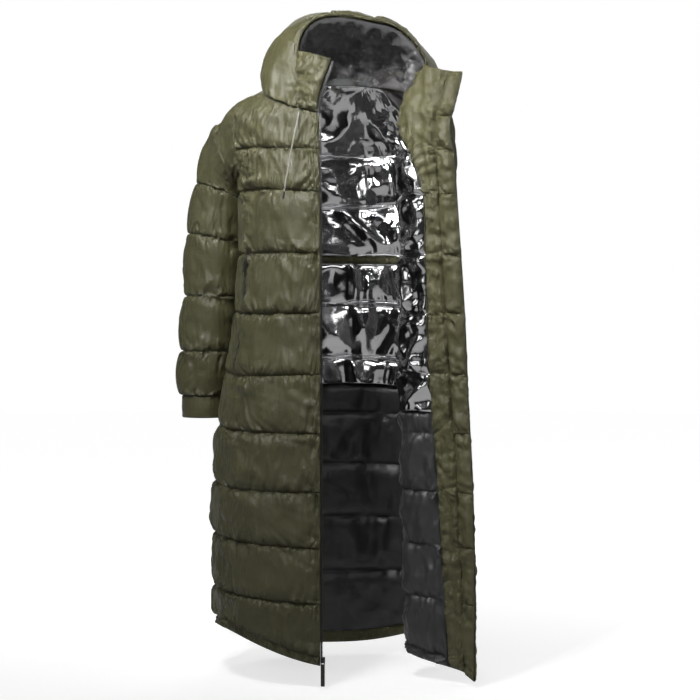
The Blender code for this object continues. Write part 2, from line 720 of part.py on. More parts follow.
FRONT_FOOT_LEFT = Vector((0.065, 0.005, 0.056))   # the left rim's foot leans out as it rises
FRONT_FOOT_RIGHT = Vector((0.006, 0.040, 0.098))


def gusset_point(side, share):
    sign = -1 if side == "right" else 1
    lean = 0.0 if side == "right" else HOOD_LEAN * (1 - share)
    wide = crown("half_gusset", share)
    centre = -0.008 * (1 - share)
    return Vector((centre + sign * wide, crown("y", share), crown("height", share) - lean))


def hood_side(side, up, share):
    """Side panel: up 0 on the neckline, 1 on the gusset seam; share 0 at the rim, 1 at the nape."""
    point = hood_side_free(side, up, share)
    if side == "left" and share < LEFT_SEAM_REACH:
        point += left_seam_pull(up) * (1 - share / LEFT_SEAM_REACH) ** 2
    return point


def hood_side_free(side, up, share):
    sign = -1 if side == "right" else 1
    girth = foot_girth(side, min(max(share, 0.0), 1.0))
    foot = body_point(girth, NECK_ROW + HOOD_FOOT)
    head = gusset_point(side, share)
    normal = body_normal(girth, NECK_ROW)
    outward = Vector((normal.x, normal.y, 0)).normalized()
    front = max(0.0, 1 - share / 0.25)
    front_foot = FRONT_FOOT_RIGHT if side == "right" else FRONT_FOOT_LEFT
    rise = outward * crown("foot_out", share) + Vector((0, 0, crown("foot_up", share)))
    rise = rise * (1 - front) + front_foot * front
    hold = Vector((sign * crown("head_out", share), 0, -0.006))
    return bezier(foot, foot + rise, head + hold, head, up)


LEFT_SEAM_REACH = 0.25


@lru_cache(maxsize=None)
def left_seam_pull(up):
    """Brings the hood's left front edge onto the collar's seam, as high as the collar reaches."""
    low = min(up, COLLAR_TOP_UP)
    row = NECK_ROW + HOOD_FOOT + (1 - HOOD_FOOT - ROW_GAP) * low / COLLAR_TOP_UP
    pull = body_point(4.0, row) - hood_side_free("left", low, 0.0)
    past = max(0.0, up - COLLAR_TOP_UP) / (1 - COLLAR_TOP_UP)
    return pull * (1 - past) ** 2


def hood_centre(across, share):
    right, left = gusset_point("right", share), gusset_point("left", share)
    hold = 0.3 * (left - right).length
    lift = Vector((0, 0, 0.004)) * (1 - share)
    return bezier(right, right + Vector((hold, 0, 0)) + lift, left + Vector((-hold, 0, 0)) + lift,
                  left, across)


def hood_surface(u, share):
    """The whole hood: u 0 to 1 right side, 1 to 2 gusset, 2 to 3 left side, top to bottom."""
    if u <= 1:
        return hood_side("right", u, share)
    if u <= 2:
        return hood_centre(u - 1, share)
    return hood_side("left", 3 - u, share)


def hood_normal(u, share):
    step = 0.012
    a, b = max(u - step, 0.0), min(u + step, 3.0)
    c, d = max(share - step, 0.0), min(share + step, 1.0)
    along = hood_surface(b, share) - hood_surface(a, share)
    back = hood_surface(u, d) - hood_surface(u, c)
    return along.cross(back).normalized()


HOOD_SIDE_UPS = (0.0, 0.09, 0.18, 0.28, 0.37, 0.46, 0.64, 0.82, 1.0)
COLLAR_TOP_UP = 0.46     # where the top of the collar meets the hood's rim
HOOD_PUFF = 0.007
HOOD_SEAM_SHARE = 0.004


def hood_line(us, share, offset, foot_side=None):
    line = []
    for u in us:
        normal = hood_normal(u, share)
        if foot_side and u in (0.0, 3.0):
            normal = body_normal(foot_girth("right" if u == 0.0 else "left", share), NECK_ROW)
        line.append(hood_surface(u, share) + normal * offset(u, share))
    return line


def hood_offset(u, share):
    """The hood's wall, as thin as the shell's at the neckline."""
    within = u % 1.0 if u < 3 else 0.0
    swell = math.sin(math.pi * within) * math.sin(math.pi * min(1.0, share / 0.95)) ** 0.5
    thick = min(1.0, min(u, 3 - u) / HOOD_SIDE_UPS[2])
    return SHELL + (HOOD_WALL - SHELL) * thick + HOOD_PUFF * max(0.0, swell)


NAPE_SHARE = 0.965      # the side panels and the lining end just short of the nape's corner
LINING_FOOT = 0.02      # how far up the side panels the hood's lining starts
HOOD_LINING_GAP = 0.0012


def build_hood(group):
    ends = HOOD_SEAM_SHARE
    shares = [ends, *hood_shares()[1:-1], NAPE_SHARE]
    ups = [*HOOD_SIDE_UPS[:-1], 1 - ends]
    sides = {"right": ups, "left": [3 - u for u in ups[::-1]]}
    for side, us in sides.items():
        outer = [hood_line(us, s, hood_offset, side) for s in shares]
        inner = [hood_line(us, s, lambda u, v: 0.0, side) for s in shares]
        wall("hood_side_" + side, "olive_nylon", group, outer, inner)
    us = [1 + ends, 1.5, 2 - ends]
    outer = [hood_line(us, s, hood_offset) for s in [*shares, 1.0]]
    inner = [hood_line(us, s, lambda u, v: 0.0) for s in [*shares, 1.0]]
    wall("hood_centre", "olive_nylon", group, outer, inner)

    us = [*HOOD_SIDE_UPS, 1.5, *(3 - u for u in HOOD_SIDE_UPS[::-1])]
    inside = [LINING_FOOT, *us[1:-1], 3 - LINING_FOOT]
    within = [2 * ends, *shares[1:]]
    seen = [hood_line(inside, s, lambda u, v: -HOOD_LINING_GAP - LINING) for s in within]
    hidden = [hood_line(inside, s, lambda u, v: -HOOD_LINING_GAP) for s in within]
    wall("hood_lining", "hood_lining", group, seen, hidden)

    us = [u for u in us if COLLAR_TOP_UP <= u <= 3 - COLLAR_TOP_UP]
    grids = []
    for height in (4 * GAP + RIM_WALL, 4 * GAP):
        front, back = (hood_line(us, s, hood_offset) for s in shares[:2])
        normals = [hood_normal(u, shares[0]) * height for u in us]
        width = [RIM_WIDTH / (b - a).length for a, b in zip(front, back)]
        grids.append([[a + n for a, n in zip(front, normals)],
                      [a.lerp(b, w) + n for a, b, n, w in zip(front, back, normals, width)]])
    wall("hood_rim", "olive_nylon", group, *grids)


def collar_zip_edge(rise):
    """Right zip edge of the collar, which flares open towards its top."""
    low = body_point(0.0, NECK_ROW)
    top = Vector((-0.074, -0.172, 0.049))
    pull = Vector((-0.003, 0.0, 0.045))
    return bezier(low, low + pull, top - Vector((0.012, -0.001, 0.045)), top, rise)


def collar_foot(share):
    """Girth of the right collar's foot: share 0 at the zip edge, 1 at the hood's seam."""
    return GIRTH_GAP + (front_girths(NECK_ROW)[FRONT_COLUMNS.index(COLLAR_COLUMN)] - GIRTH_GAP) * share


def collar_right_point(share, rise):
    foot = body_point(collar_foot(share), NECK_ROW + HOOD_FOOT)
    front = collar_zip_edge(rise)
    seam = hood_side("right", COLLAR_TOP_UP * rise, 0.0)
    lift = foot - body_point(0.0, NECK_ROW).lerp(hood_side("right", 0.0, 0.0), share)
    bulge = 0.010 * math.sin(math.pi * share) * math.sin(math.pi * rise / 2)
    return front.lerp(seam, share) + lift * (1 - rise) + Vector((-0.35, -0.94, 0)) * bulge


def collar_normal(share, rise):
    if rise == 0.0:
        return body_normal(collar_foot(share), NECK_ROW)
    if share > 0.95:
        return hood_normal(COLLAR_TOP_UP * rise, HOOD_SEAM_SHARE)
    step = 0.02
    across = collar_right_point(share + step, rise) - collar_right_point(share - step, rise)
    a, b = max(rise - step, 0.0), min(rise + step, 1.0)
    up = collar_right_point(share, b) - collar_right_point(share, a)
    return up.cross(across).normalized()


COLLAR_PUFF = 0.006


def build_collar(group):
    shares = [0.0, 0.08, 0.35, 0.65, 0.92, 1 - 2 * HOOD_SEAM_SHARE]
    rises = [u / COLLAR_TOP_UP for u in HOOD_SIDE_UPS if u <= COLLAR_TOP_UP]
    outer, inner = [], []
    for rise in rises:
        swell = COLLAR_PUFF * max(0.0, math.sin(math.pi * rise)) ** 0.5
        points = [(s, collar_right_point(s, rise), collar_normal(s, rise)) for s in shares]
        outer.append([p + n * (HOOD_WALL + swell * edge_ease(s)) for s, p, n in points])
        inner.append([p for s, p, n in points])
    wall("collar_right", "olive_nylon", group, outer, inner)

    def collar_offset(girth, row, share):
        swell = max(0.0, math.sin(math.pi * (row - NECK_ROW))) ** 0.5
        return HOOD_WALL + COLLAR_PUFF * swell * edge_ease(share)

    rows = body_rows(NECK_ROW, COLLAR_ROW)
    outer = panel_grid(facing_girths, rows, collar_offset)
    inner = panel_grid(facing_girths, rows, on_surface)
    wall("collar_left", "olive_nylon", group, outer, inner)


# ---------------------------------------------------------------- front edges
FLAP_WALL = 0.005
TAPE_WIDTH = 0.030      # of one girth station
TAPE_WALL = 0.0012
TAPE_ROWS = (0.35, 11.9)


def strip(name, finish, group, girths, rows, low, high):
    """Narrow wall along the body, from low to high off its surface."""
    outer = [[body_point(g, r) + body_normal(g, r) * high for g in girths] for r in rows]
    inner = [[body_point(g, r) + body_normal(g, r) * low for g in girths] for r in rows]
    return wall(name, finish, group, outer, inner)


def build_front_edges(group):
    rows = body_rows(0, COLLAR_ROW)
    strip("storm_flap", "olive_facing", group, (5 + 2 * GIRTH_GAP, 5.33, 5.67, 6.0), rows,
          -GAP - LINING, FLAP_WALL - GAP - LINING)
    left_rows = [r for r in rows if TAPE_ROWS[0] < r < TAPE_ROWS[1]]
    over = FLAP_WALL - LINING
    strip("zip_tape_left", "dark_zip", group, (5.04, 5.30), left_rows, over, over + TAPE_WALL)
    front_rows = [r for r in body_rows(0, NECK_ROW) if r > TAPE_ROWS[0]]
    girths = (-TAPE_WIDTH, -GIRTH_GAP)
    outer = [[body_point(g, r) + body_normal(g, r) * (0.0005 + TAPE_WALL) for g in girths]
             for r in front_rows]
    inner = [[body_point(g, r) + body_normal(g, r) * 0.0005 for g in girths] for r in front_rows]
    for rise in (0.12, 0.3, 0.5, 0.7, 0.88, 0.97):
        edge = collar_zip_edge(rise)
        across = (collar_right_point(0.05, rise) - edge).normalized()
        normal = collar_normal(0.02, rise)
        beside = [edge - across * 0.0090, edge - across * 0.0010]
        outer.append([p + normal * (0.0005 + TAPE_WALL) for p in beside])
        inner.append([p + normal * 0.0005 for p in beside])
    wall("zip_tape_right", "dark_zip", group, outer, inner)


# ---------------------------------------------------------------- zip hardware
def cube(name, group, size, at, bevel=0.0):
    bpy.ops.mesh.primitive_cube_add(size=1.0, location=(0, 0, 0))
    made = bpy.context.active_object
    made.name = name
    for vertex in made.data.vertices:
        vertex.co = Vector(a * b for a, b in zip(vertex.co, size)) + Vector(at)
    for holder in made.users_collection:
        holder.objects.unlink(made)
    group.objects.link(made)
    if bevel:
        edge = made.modifiers.new("rounded", "BEVEL")
        edge.width = bevel
        edge.segments = 2
        edge.limit_method = "ANGLE"
    return made


def combine(target, tool, operation):
    step = target.modifiers.new(operation.lower(), "BOOLEAN")
    step.operation = operation
    step.object = tool
    step.solver = "EXACT"
    tool.hide_render = True
    tool.display_type = "WIRE"


def pull_frame(at, out, up):
    """Frame of a zip pull: origin on its pivot, X along the cloth, -Y out of it, Z up the zip."""
    across = up.cross(out).normalized()
    up = out.cross(across).normalized()
    frame = Matrix((across, -out.normalized(), up)).transposed().to_4x4()
    frame.translation = at
    return frame


def main_zip_frame():
    """The main slider stands at the foot of the right zip edge, where its pull hangs straight."""
    girth, row = MAIN_PULL_AT
    normal = body_normal(girth, row)
    out = Vector((normal.x, normal.y, 0)).normalized()
    return pull_frame(body_point(girth, row) + out * MAIN_PULL_OFF, out, Vector((0, 0, 1)))


Pull = namedtuple("Pull", "body_width body_height tab_width tab_length tab_wall scale")
MAIN_PULL = Pull(0.0095, 0.0125, 0.0085, 0.055, 0.0022, 1.0)
POCKET_PULL = Pull(0.0070, 0.0100, 0.0060, 0.024, 0.0018, 0.8)
MAIN_PULL_AT = (-0.016, 0.68)   # girth and row
MAIN_PULL_OFF = 0.0090


def build_zip_pull(name, frame, pull, parts, cutters):
    """Slider with the arch that holds its pull tab, and the tab, whose bar turns in the arch."""
    s = pull.scale
    slider = cube("zip_slider_" + name, parts, (pull.body_width, 0.0034 * s, pull.body_height),
                  (0, 0.0038 * s, 0), bevel=0.0008)
    arch = cube("arch_" + name, cutters, (0.0022 * s, 0.0070 * s, 0.0112 * s), (0, -0.0004 * s, 0))
    opening = cube("arch_opening_" + name, cutters, (0.01, 0.0040 * s, 0.0080 * s),
                   (0, -0.0001 * s, 0))
    combine(arch, opening, "DIFFERENCE")
    combine(slider, arch, "UNION")
    tab = cube("zip_pull_" + name, parts, (pull.tab_width, pull.tab_wall, pull.tab_length),
               (0, 0, 0.0010 * s - pull.tab_length / 2), bevel=0.0005)
    window = cube("tab_window_" + name, cutters, (0.0040 * s, 0.02, 0.0072 * s),
                  (0, 0, -0.0010 * s - 0.0036 * s))
    combine(tab, window, "DIFFERENCE")
    for item in (slider, arch, opening, tab, window):
        item.matrix_world = frame
    slider.data.materials.append(material("dark_metal"))
    tab.data.materials.append(material("dark_zip"))
    return slider, tab


POCKET_ROWS = (6.02, 8.0)
POCKET_WALL = 0.0014
POCKET_WIDTH = 0.012
POCKET_OVER = 0.0016            # between the shell and the zip that lies on it
POCKET_SLIDER_SHARE = 0.55      # of the way up the zip's last stretch
POCKET_SLIDER_OFF = 0.0050      # of its pivot off the zip tape
POCKET_COLUMNS = {"right": (front_girths, -2, -3), "left": (left_girths, 1, 2)}


def pocket_line(side, row, height):
    """The two edges of a pocket zip at a row, at a height off the shell."""
    girths, near, far = POCKET_COLUMNS[side]
    line = girths(row)
    ends = []
    for g in (line[near], line[far]):
        share = (g - line[0]) / (line[-1] - line[0])
        lift = shell_offset(g, row, share) + POCKET_OVER + height
        ends.append(body_point(g, row) + body_normal(g, row) * lift)
    near, far = ends
    return [near, near.lerp(far, POCKET_WIDTH / (far - near).length)]


def build_pockets(parts, cutters):
    """Side pocket zips, which lie on the fronts just before the side seams."""
    rows = [r for r in body_rows(0, NECK_ROW) if POCKET_ROWS[0] - 0.1 < r <= POCKET_ROWS[1]]
    for side in ("right", "left"):
        outer, inner = ([pocket_line(side, r, height) for r in rows] for height in (POCKET_WALL, 0.0))
        wall("pocket_zip_" + side, "dark_zip", parts, outer, inner)
        low, high = (a.lerp(b, 0.5) for a, b in outer[-2:])
        up = (high - low).normalized()
        across = (outer[-1][1] - outer[-1][0]).normalized()
        out = across.cross(up).normalized()
        away = body_normal(POCKET_COLUMNS[side][0](rows[-1])[POCKET_COLUMNS[side][1]], rows[-1])
        if out.dot(away) < 0:
            out = -out
        at = low.lerp(high, POCKET_SLIDER_SHARE) + out * POCKET_SLIDER_OFF
        build_zip_pull("pocket_" + side, pull_frame(at, out, up), POCKET_PULL, parts, cutters)


INNER_POCKET_ROWS = (7.75, 8.0, 8 + 1 / 3, 8 + 2 / 3, 8.88)
INNER_POCKET_GIRTHS = (4.80, 4.88)
INNER_POCKET_WALL = 0.0012
SNAP_AT = (4.82, 8.98)          # girth and row
SNAP_DIAMETER = 0.0085
SNAP_HEIGHT = 0.0016


def build_inner_pocket(group):
    """Zipped slit of the inside pocket on the facing, with a snap above it."""
    low = -GAP - LINING - 0.0008
    strip("inner_pocket_zip", "dark_zip", group, INNER_POCKET_GIRTHS, INNER_POCKET_ROWS,
          low - INNER_POCKET_WALL, low)
    at, normal = body_point(*SNAP_AT), body_normal(*SNAP_AT)
    ends = [at + normal * height for height in (low, low - SNAP_HEIGHT)]
    tube("inner_pocket_snap", "dark_metal", group, ends, SNAP_DIAMETER)


# ---------------------------------------------------------------- drawcord
CORD_RIGHT = (
    (-0.1400, -0.1560, -0.0560), (-0.1440, -0.1700, -0.0700), (-0.1500, -0.1850, -0.0900),
    (-0.1570, -0.1960, -0.1150), (-0.1640, -0.2030, -0.1450), (-0.1700, -0.2080, -0.1750),
    (-0.1760, -0.2130, -0.2050), (-0.1810, -0.2160, -0.2350),
)
CORD_LEFT = (
    (0.1080, -0.1080, -0.0480), (0.1140, -0.1120, -0.0620), (0.1180, -0.1160, -0.0850),
    (0.1190, -0.1180, -0.1150), (0.1180, -0.1180, -0.1450), (0.1170, -0.1190, -0.1750),
    (0.1170, -0.1200, -0.2050), (0.1180, -0.1200, -0.2350),
)
CORD_STEP = 0.0085
TIP_LENGTH = 0.014
TIP_DIAMETER = 0.0050


def smooth_route(points, step):
    """Evenly spaced points on a smooth curve through a route's points."""
    points = [Vector(p) for p in points]
    fine = []
    for i in range(len(points) - 1):
        before = points[max(i - 1, 0)]
        after = points[min(i + 2, len(points) - 1)]
        a, b = points[i], points[i + 1]
        for k in range(12):
            u = k / 12
            fine.append(a * (1 + 2 * u) * (1 - u) ** 2 + b * (3 - 2 * u) * u ** 2
                        + (b - before) / 2 * u * (1 - u) ** 2 - (after - a) / 2 * (1 - u) * u ** 2)
    fine.append(points[-1])
    total = sum((b - a).length for a, b in zip(fine, fine[1:]))
    count = max(2, round(total / step))
    spaced, run, wanted = [fine[0]], 0.0, total / count
    for a, b in zip(fine, fine[1:]):
        length = (b - a).length
        while run + length >= wanted * len(spaced) and len(spaced) < count:
            spaced.append(a.lerp(b, (wanted * len(spaced) - run) / length))
        run += length
    return [*spaced, fine[-1]]


def tube(name, finish, group, points, diameter):
    curve = bpy.data.curves.new(name, "CURVE")
    curve.dimensions = "3D"
    curve.bevel_depth = diameter / 2
    curve.bevel_resolution = 2
    curve.use_fill_caps = True
    spline = curve.splines.new("POLY")
    spline.points.add(len(points) - 1)
    for knot, point in zip(spline.points, points):
        knot.co = (*point, 1.0)
    curve.materials.append(material(finish))
    made = bpy.data.objects.new(name, curve)
    group.objects.link(made)
    return made


BIGHT_UPS = (0.40, 0.435, 0.47, 0.50)    # of the short stretches of cord that show on the rim
BIGHT_RISE = (0.0, 0.003, 0.003, 0.0)
BIGHT_SHARE = 0.035


def build_bights(group):
    """The drawcord where it shows on the hood's rim, beside the top of the collar."""
    over = RIM_WALL + 6 * GAP + CORD_DIAMETER / 2
    for side in ("right", "left"):
        points = []
        for up, rise in zip(BIGHT_UPS, BIGHT_RISE):
            u = up if side == "right" else 3 - up
            lift = hood_offset(u, BIGHT_SHARE) + over + rise
            points.append(hood_surface(u, BIGHT_SHARE) + hood_normal(u, BIGHT_SHARE) * lift)
        tube("drawcord_bight_" + side, "grey_cord", group, smooth_route(points, CORD_STEP / 2),
             CORD_DIAMETER)


def build_cords(group):
    for side, route in (("right", CORD_RIGHT), ("left", CORD_LEFT)):
        tube("drawcord_" + side, "grey_cord", group, smooth_route(route, CORD_STEP), CORD_DIAMETER)
        end, before = Vector(route[-1]), Vector(route[-2])
        down = (end - before).normalized()
        start = end + down * GAP
        tube("drawcord_tip_" + side, "grey_cord", group,
             [start, start + down * TIP_LENGTH], TIP_DIAMETER)


# ---------------------------------------------------------------- the coat
def main():
    clear_scene()
    parts = collection("long_puffer_coat")
    cutters = collection("cutters")
    body_panel("front_right", parts, front_girths)
    body_panel("back", parts, back_girths)
    body_panel("front_left", parts, left_girths)
    build_sleeve("right", SLEEVE_RIGHT, parts)
    build_sleeve("left", SLEEVE_LEFT, parts)
    build_hood(parts)
    build_collar(parts)
    build_linings(parts)
    build_front_edges(parts)
    build_pockets(parts, cutters)
    build_inner_pocket(parts)
    build_zip_pull("main", main_zip_frame(), MAIN_PULL, parts, cutters)
    build_cords(parts)
    build_bights(parts)


main()
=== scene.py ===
"""Dresses the long hooded puffer coat: quilted shell, crumpled linings, zips, cords, materials, light.

The coat's surface is read as in its solids, by girth (0 right zip edge, 1 right side seam, 2 centre
back, 3 left side seam, 4 fold of the left front, 5 left zip line, 6 flap edge) and by row (0 hem,
1 hem stitching, 2 to 10 quilting seams, 11 neckline, 12 top of the collar). Units are metres.
"""
import json
import math

import bpy
import numpy as np
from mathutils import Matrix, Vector

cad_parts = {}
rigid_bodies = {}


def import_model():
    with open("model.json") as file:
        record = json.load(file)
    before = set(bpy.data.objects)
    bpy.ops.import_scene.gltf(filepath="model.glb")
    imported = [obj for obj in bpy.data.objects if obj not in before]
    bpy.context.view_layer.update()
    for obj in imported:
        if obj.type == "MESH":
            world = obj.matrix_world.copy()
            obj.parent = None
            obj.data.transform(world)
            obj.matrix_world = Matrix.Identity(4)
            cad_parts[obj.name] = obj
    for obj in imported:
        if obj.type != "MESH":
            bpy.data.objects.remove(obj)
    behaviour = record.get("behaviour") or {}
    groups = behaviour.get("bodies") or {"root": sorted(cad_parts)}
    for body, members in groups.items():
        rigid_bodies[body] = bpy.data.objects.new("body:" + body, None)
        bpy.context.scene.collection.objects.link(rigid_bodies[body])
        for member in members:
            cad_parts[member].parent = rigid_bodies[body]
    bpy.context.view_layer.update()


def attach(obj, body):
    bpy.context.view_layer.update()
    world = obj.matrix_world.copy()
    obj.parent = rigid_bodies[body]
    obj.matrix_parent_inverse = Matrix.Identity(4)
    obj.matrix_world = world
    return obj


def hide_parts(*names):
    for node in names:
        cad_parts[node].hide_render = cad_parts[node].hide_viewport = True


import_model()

# ---------------------------------------------------------------- camera
CAMERA_AT = (-0.738, -4.185, -0.5)
CAMERA_TURN = math.radians(-10)
SENSOR = 36.0
PIXELS = 700
FOCAL_PIXELS = 1935
SHIFT_PIXELS = (-2, -30)


def build_camera():
    data = bpy.data.cameras.new("camera")
    data.sensor_width = SENSOR
    data.lens = FOCAL_PIXELS / PIXELS * SENSOR
    data.shift_x, data.shift_y = (s / PIXELS for s in SHIFT_PIXELS)
    data.clip_end = 50
    camera = bpy.data.objects.new("camera", data)
    camera.location = CAMERA_AT
    camera.rotation_euler = (math.radians(90), 0, CAMERA_TURN)
    bpy.context.scene.collection.objects.link(camera)
    bpy.context.scene.camera = camera


# ---------------------------------------------------------------- sizes and tables
SHELL, LINING, GAP = 0.0025, 0.0018, 0.0003
LOFT, LOFT_PER_HEIGHT, YOKE_LOFT, HEM_LOFT = 0.019, 0.17, 0.010, 0.0015
ROUNDNESS = 2.4
GIRTH_GAP, SLEEVE_GAP, ROW_GAP = 0.0006, 0.0028, 0.002
NECK_ROW, COLLAR_ROW, ARMPIT_ROW = 11, 12, 9.57

# height, right, left, front, back, zip_right, side, side_left
SECTIONS = np.array((
    (-1.250, 0.292, 0.252, 0.247, 0.176, 0.108, 0.060, 0.000),
    (-1.000, 0.292, 0.252, 0.232, 0.166, 0.106, 0.060, 0.000),
    (-0.860, 0.292, 0.250, 0.225, 0.158, 0.105, 0.060, 0.000),
    (-0.740, 0.285, 0.246, 0.220, 0.154, 0.104, 0.060, 0.010),
    (-0.620, 0.267, 0.238, 0.215, 0.151, 0.103, 0.060, 0.020),
    (-0.490, 0.248, 0.228, 0.210, 0.150, 0.102, 0.058, 0.035),
    (-0.360, 0.238, 0.222, 0.205, 0.153, 0.101, 0.050, 0.045),
    (-0.250, 0.238, 0.216, 0.199, 0.157, 0.101, 0.040, 0.055),
    (-0.170, 0.244, 0.213, 0.192, 0.157, 0.101, 0.032, 0.060),
    (-0.120, 0.258, 0.213, 0.186, 0.153, 0.101, 0.030, 0.060),
    (-0.090, 0.264, 0.211, 0.179, 0.147, 0.101, 0.030, 0.055),
    (-0.067, 0.262, 0.206, 0.171, 0.140, 0.101, 0.028, 0.050),
    (-0.045, 0.252, 0.198, 0.156, 0.132, 0.101, 0.024, 0.045),
    (-0.020, 0.220, 0.180, 0.130, 0.116, 0.100, 0.020, 0.040),
    (0.000, 0.178, 0.155, 0.112, 0.098, 0.099, 0.016, 0.035),
    (0.024, 0.150, 0.132, 0.095, 0.080, 0.090, 0.012, 0.030),
    (0.061, 0.140, 0.120, 0.085, 0.070, 0.073, 0.010, 0.028),
))

# height, fold_x, fold_y, zip_x, zip_y, edge_x, edge_y
LAPEL = np.array((
    (-1.250, 0.100, -0.135, 0.199, -0.250, 0.206, -0.288),
    (-1.080, 0.094, -0.133, 0.194, -0.243, 0.210, -0.278),
    (-0.830, 0.089, -0.130, 0.184, -0.235, 0.207, -0.266),
    (-0.660, 0.085, -0.128, 0.172, -0.230, 0.200, -0.258),
    (-0.500, 0.088, -0.126, 0.162, -0.226, 0.195, -0.251),
    (-0.270, 0.089, -0.124, 0.150, -0.216, 0.182, -0.241),
    (-0.150, 0.088, -0.120, 0.146, -0.205, 0.175, -0.232),
    (-0.095, 0.083, -0.117, 0.144, -0.198, 0.167, -0.226),
    (-0.056, 0.085, -0.115, 0.150, -0.193, 0.178, -0.220),
    (0.000, 0.115, -0.108, 0.168, -0.188, 0.194, -0.211),
    (0.050, 0.146, -0.100, 0.182, -0.183, 0.204, -0.203),
))

# height of each row at girth 0, 1, ... 6
ROWS = np.array((
    (-1.215, -1.157, -1.235, -1.165, -1.205, -1.238, -1.248),
    (-1.196, -1.137, -1.210, -1.145, -1.186, -1.218, -1.228),
    (-1.089, -1.076, -1.071, -1.075, -1.082, -1.090, -1.092),
    (-0.974, -0.962, -0.946, -0.962, -0.972, -0.975, -0.975),
    (-0.859, -0.853, -0.825, -0.850, -0.860, -0.862, -0.862),
    (-0.737, -0.732, -0.709, -0.730, -0.737, -0.738, -0.738),
    (-0.614, -0.617, -0.584, -0.612, -0.614, -0.614, -0.614),
    (-0.486, -0.486, -0.461, -0.482, -0.486, -0.486, -0.486),
    (-0.360, -0.358, -0.357, -0.358, -0.362, -0.362, -0.362),
    (-0.231, -0.221, -0.245, -0.225, -0.235, -0.236, -0.236),
    (-0.142, -0.131, -0.129, -0.131, -0.140, -0.142, -0.142),
    (-0.067, 0.000, 0.024, -0.002, -0.056, -0.070, -0.072),
    (0.061, 0.060, 0.080, 0.060, 0.050, 0.028, 0.024),
))

# raglan seams: row, front, back, front_left, back_left
ARMHOLES = np.array((
    (9.57, 0.000, 0.000, 0.000, 0.000),
    (9.80, 0.045, 0.130, 0.060, 0.120),
    (10.00, 0.070, 0.240, 0.120, 0.220),
    (10.30, 0.095, 0.370, 0.170, 0.350),
    (10.60, 0.110, 0.460, 0.200, 0.440),
    (10.85, 0.200, 0.520, 0.280, 0.500),
    (11.00, 0.430, 0.580, 0.430, 0.560),
))
RAGLANS = {"front": 1, "back": 2, "front_left": 3, "back_left": 4}

# sleeve rings: height, x, y, half_width, half_depth, lean
RINGS = {
    "right": np.array((
        (-0.218, -0.278, 0.104, 0.046, 0.064, 0.042),
        (-0.320, -0.289, 0.119, 0.053, 0.067, 0.024),
        (-0.447, -0.295, 0.122, 0.053, 0.066, 0.000),
        (-0.569, -0.306, 0.124, 0.050, 0.061, 0.000),
        (-0.668, -0.314, 0.120, 0.044, 0.052, 0.000),
    )),
    "left": np.array((
        (-0.222, 0.218, 0.182, 0.046, 0.052, 0.030),
        (-0.322, 0.200, 0.190, 0.050, 0.054, 0.014),
        (-0.447, 0.198, 0.200, 0.051, 0.056, 0.000),
        (-0.569, 0.198, 0.204, 0.049, 0.054, 0.000),
        (-0.668, 0.198, 0.200, 0.044, 0.048, 0.000),
    )),
}
CUFF_HEIGHT = 0.048

# crown of the hood: share, half_gusset, y, height, foot_out, foot_up, head_out
CROWN = np.array((
    (0.00, 0.050, -0.090, 0.149, 0.004, 0.100, 0.092),
    (0.20, 0.048, -0.035, 0.162, 0.012, 0.075, 0.094),
    (0.40, 0.046, 0.035, 0.158, 0.024, 0.060, 0.096),
    (0.60, 0.044, 0.098, 0.130, 0.032, 0.052, 0.088),
    (0.80, 0.042, 0.138, 0.078, 0.040, 0.032, 0.068),
    (0.93, 0.041, 0.140, 0.030, 0.040, 0.010, 0.030),
    (1.00, 0.040, 0.096, 0.022, 0.010, 0.002, 0.006),
))

# facing's inner edge: row, share of the way from fold to zip line
FACING_EDGES = np.array((
    (0, 0.70), (3, 0.66), (6, 0.64), (8, 0.67), (9, 0.68), (9.7, 0.50), (10.3, 0.26),
    (10.7, 0.06), (11, 0.004), (12, 0.004),
))


# ---------------------------------------------------------------- curves and vectors
def pair(a, b):
    """Two values as arrays of one shape."""
    return np.broadcast_arrays(np.asarray(a, float), np.asarray(b, float))


def hermite(a, b, slope_a, slope_b, u):
    return (a * (1 + 2 * u) * (1 - u) ** 2 + b * (3 - 2 * u) * u ** 2
            + slope_a * u * (1 - u) ** 2 - slope_b * (1 - u) * u ** 2)


def through(keys, values, at):
    """Smooth curve through values at rising keys, held level beyond the ends."""
    keys, values, at = (np.asarray(a, dtype=float) for a in (keys, values, at))
    last = len(keys) - 1
    i = np.clip(np.searchsorted(keys, at, side="right") - 1, 0, last - 1)
    step = keys[i + 1] - keys[i]
    k = np.arange(last + 1)
    low, high = np.maximum(k - 1, 0), np.minimum(k + 1, last)
    slopes = (values[high] - values[low]) / (keys[high] - keys[low])
    return hermite(values[i], values[i + 1], slopes[i] * step, slopes[i + 1] * step,
                   np.clip((at - keys[i]) / step, 0, 1))


def column(table, index, at):
    return through(table[:, 0], table[:, index], at)


def bezier(a, b, c, d, t):
    s = 1 - t
    return a * s ** 3 + b * (3 * s * s * t) + c * (3 * s * t * t) + d * t ** 3


def stack(*values):
    return np.stack(np.broadcast_arrays(*values), axis=-1)


def dot(a, b):
    return (a * b).sum(-1, keepdims=True)


def unit(v):
    return v / np.maximum(np.linalg.norm(v, axis=-1, keepdims=True), 1e-12)


def run_of(line):
    """Distance of each point of a line from its start."""
    return np.concatenate([[0], np.cumsum(np.linalg.norm(np.diff(line, axis=0), axis=1))])


def read_off(at, run, line):
    """Points or ways read off a line at distances along it."""
    return np.stack([np.interp(at, run, line[:, axis]) for axis in range(3)], -1)


def from_start(steps, axis):
    """Distances from a grid's first line, from the steps between its lines."""
    return np.concatenate([0 * np.take(steps, [0], axis), np.cumsum(steps, axis)], axis)


def near(distance, reach):
    return np.exp(-(distance / reach) ** 2)


def by_ends(run, reach, axis):
    """Nearness to a grid's first and last lines."""
    return near(run, reach) + near(np.take(run, [-1], axis) - run, reach)


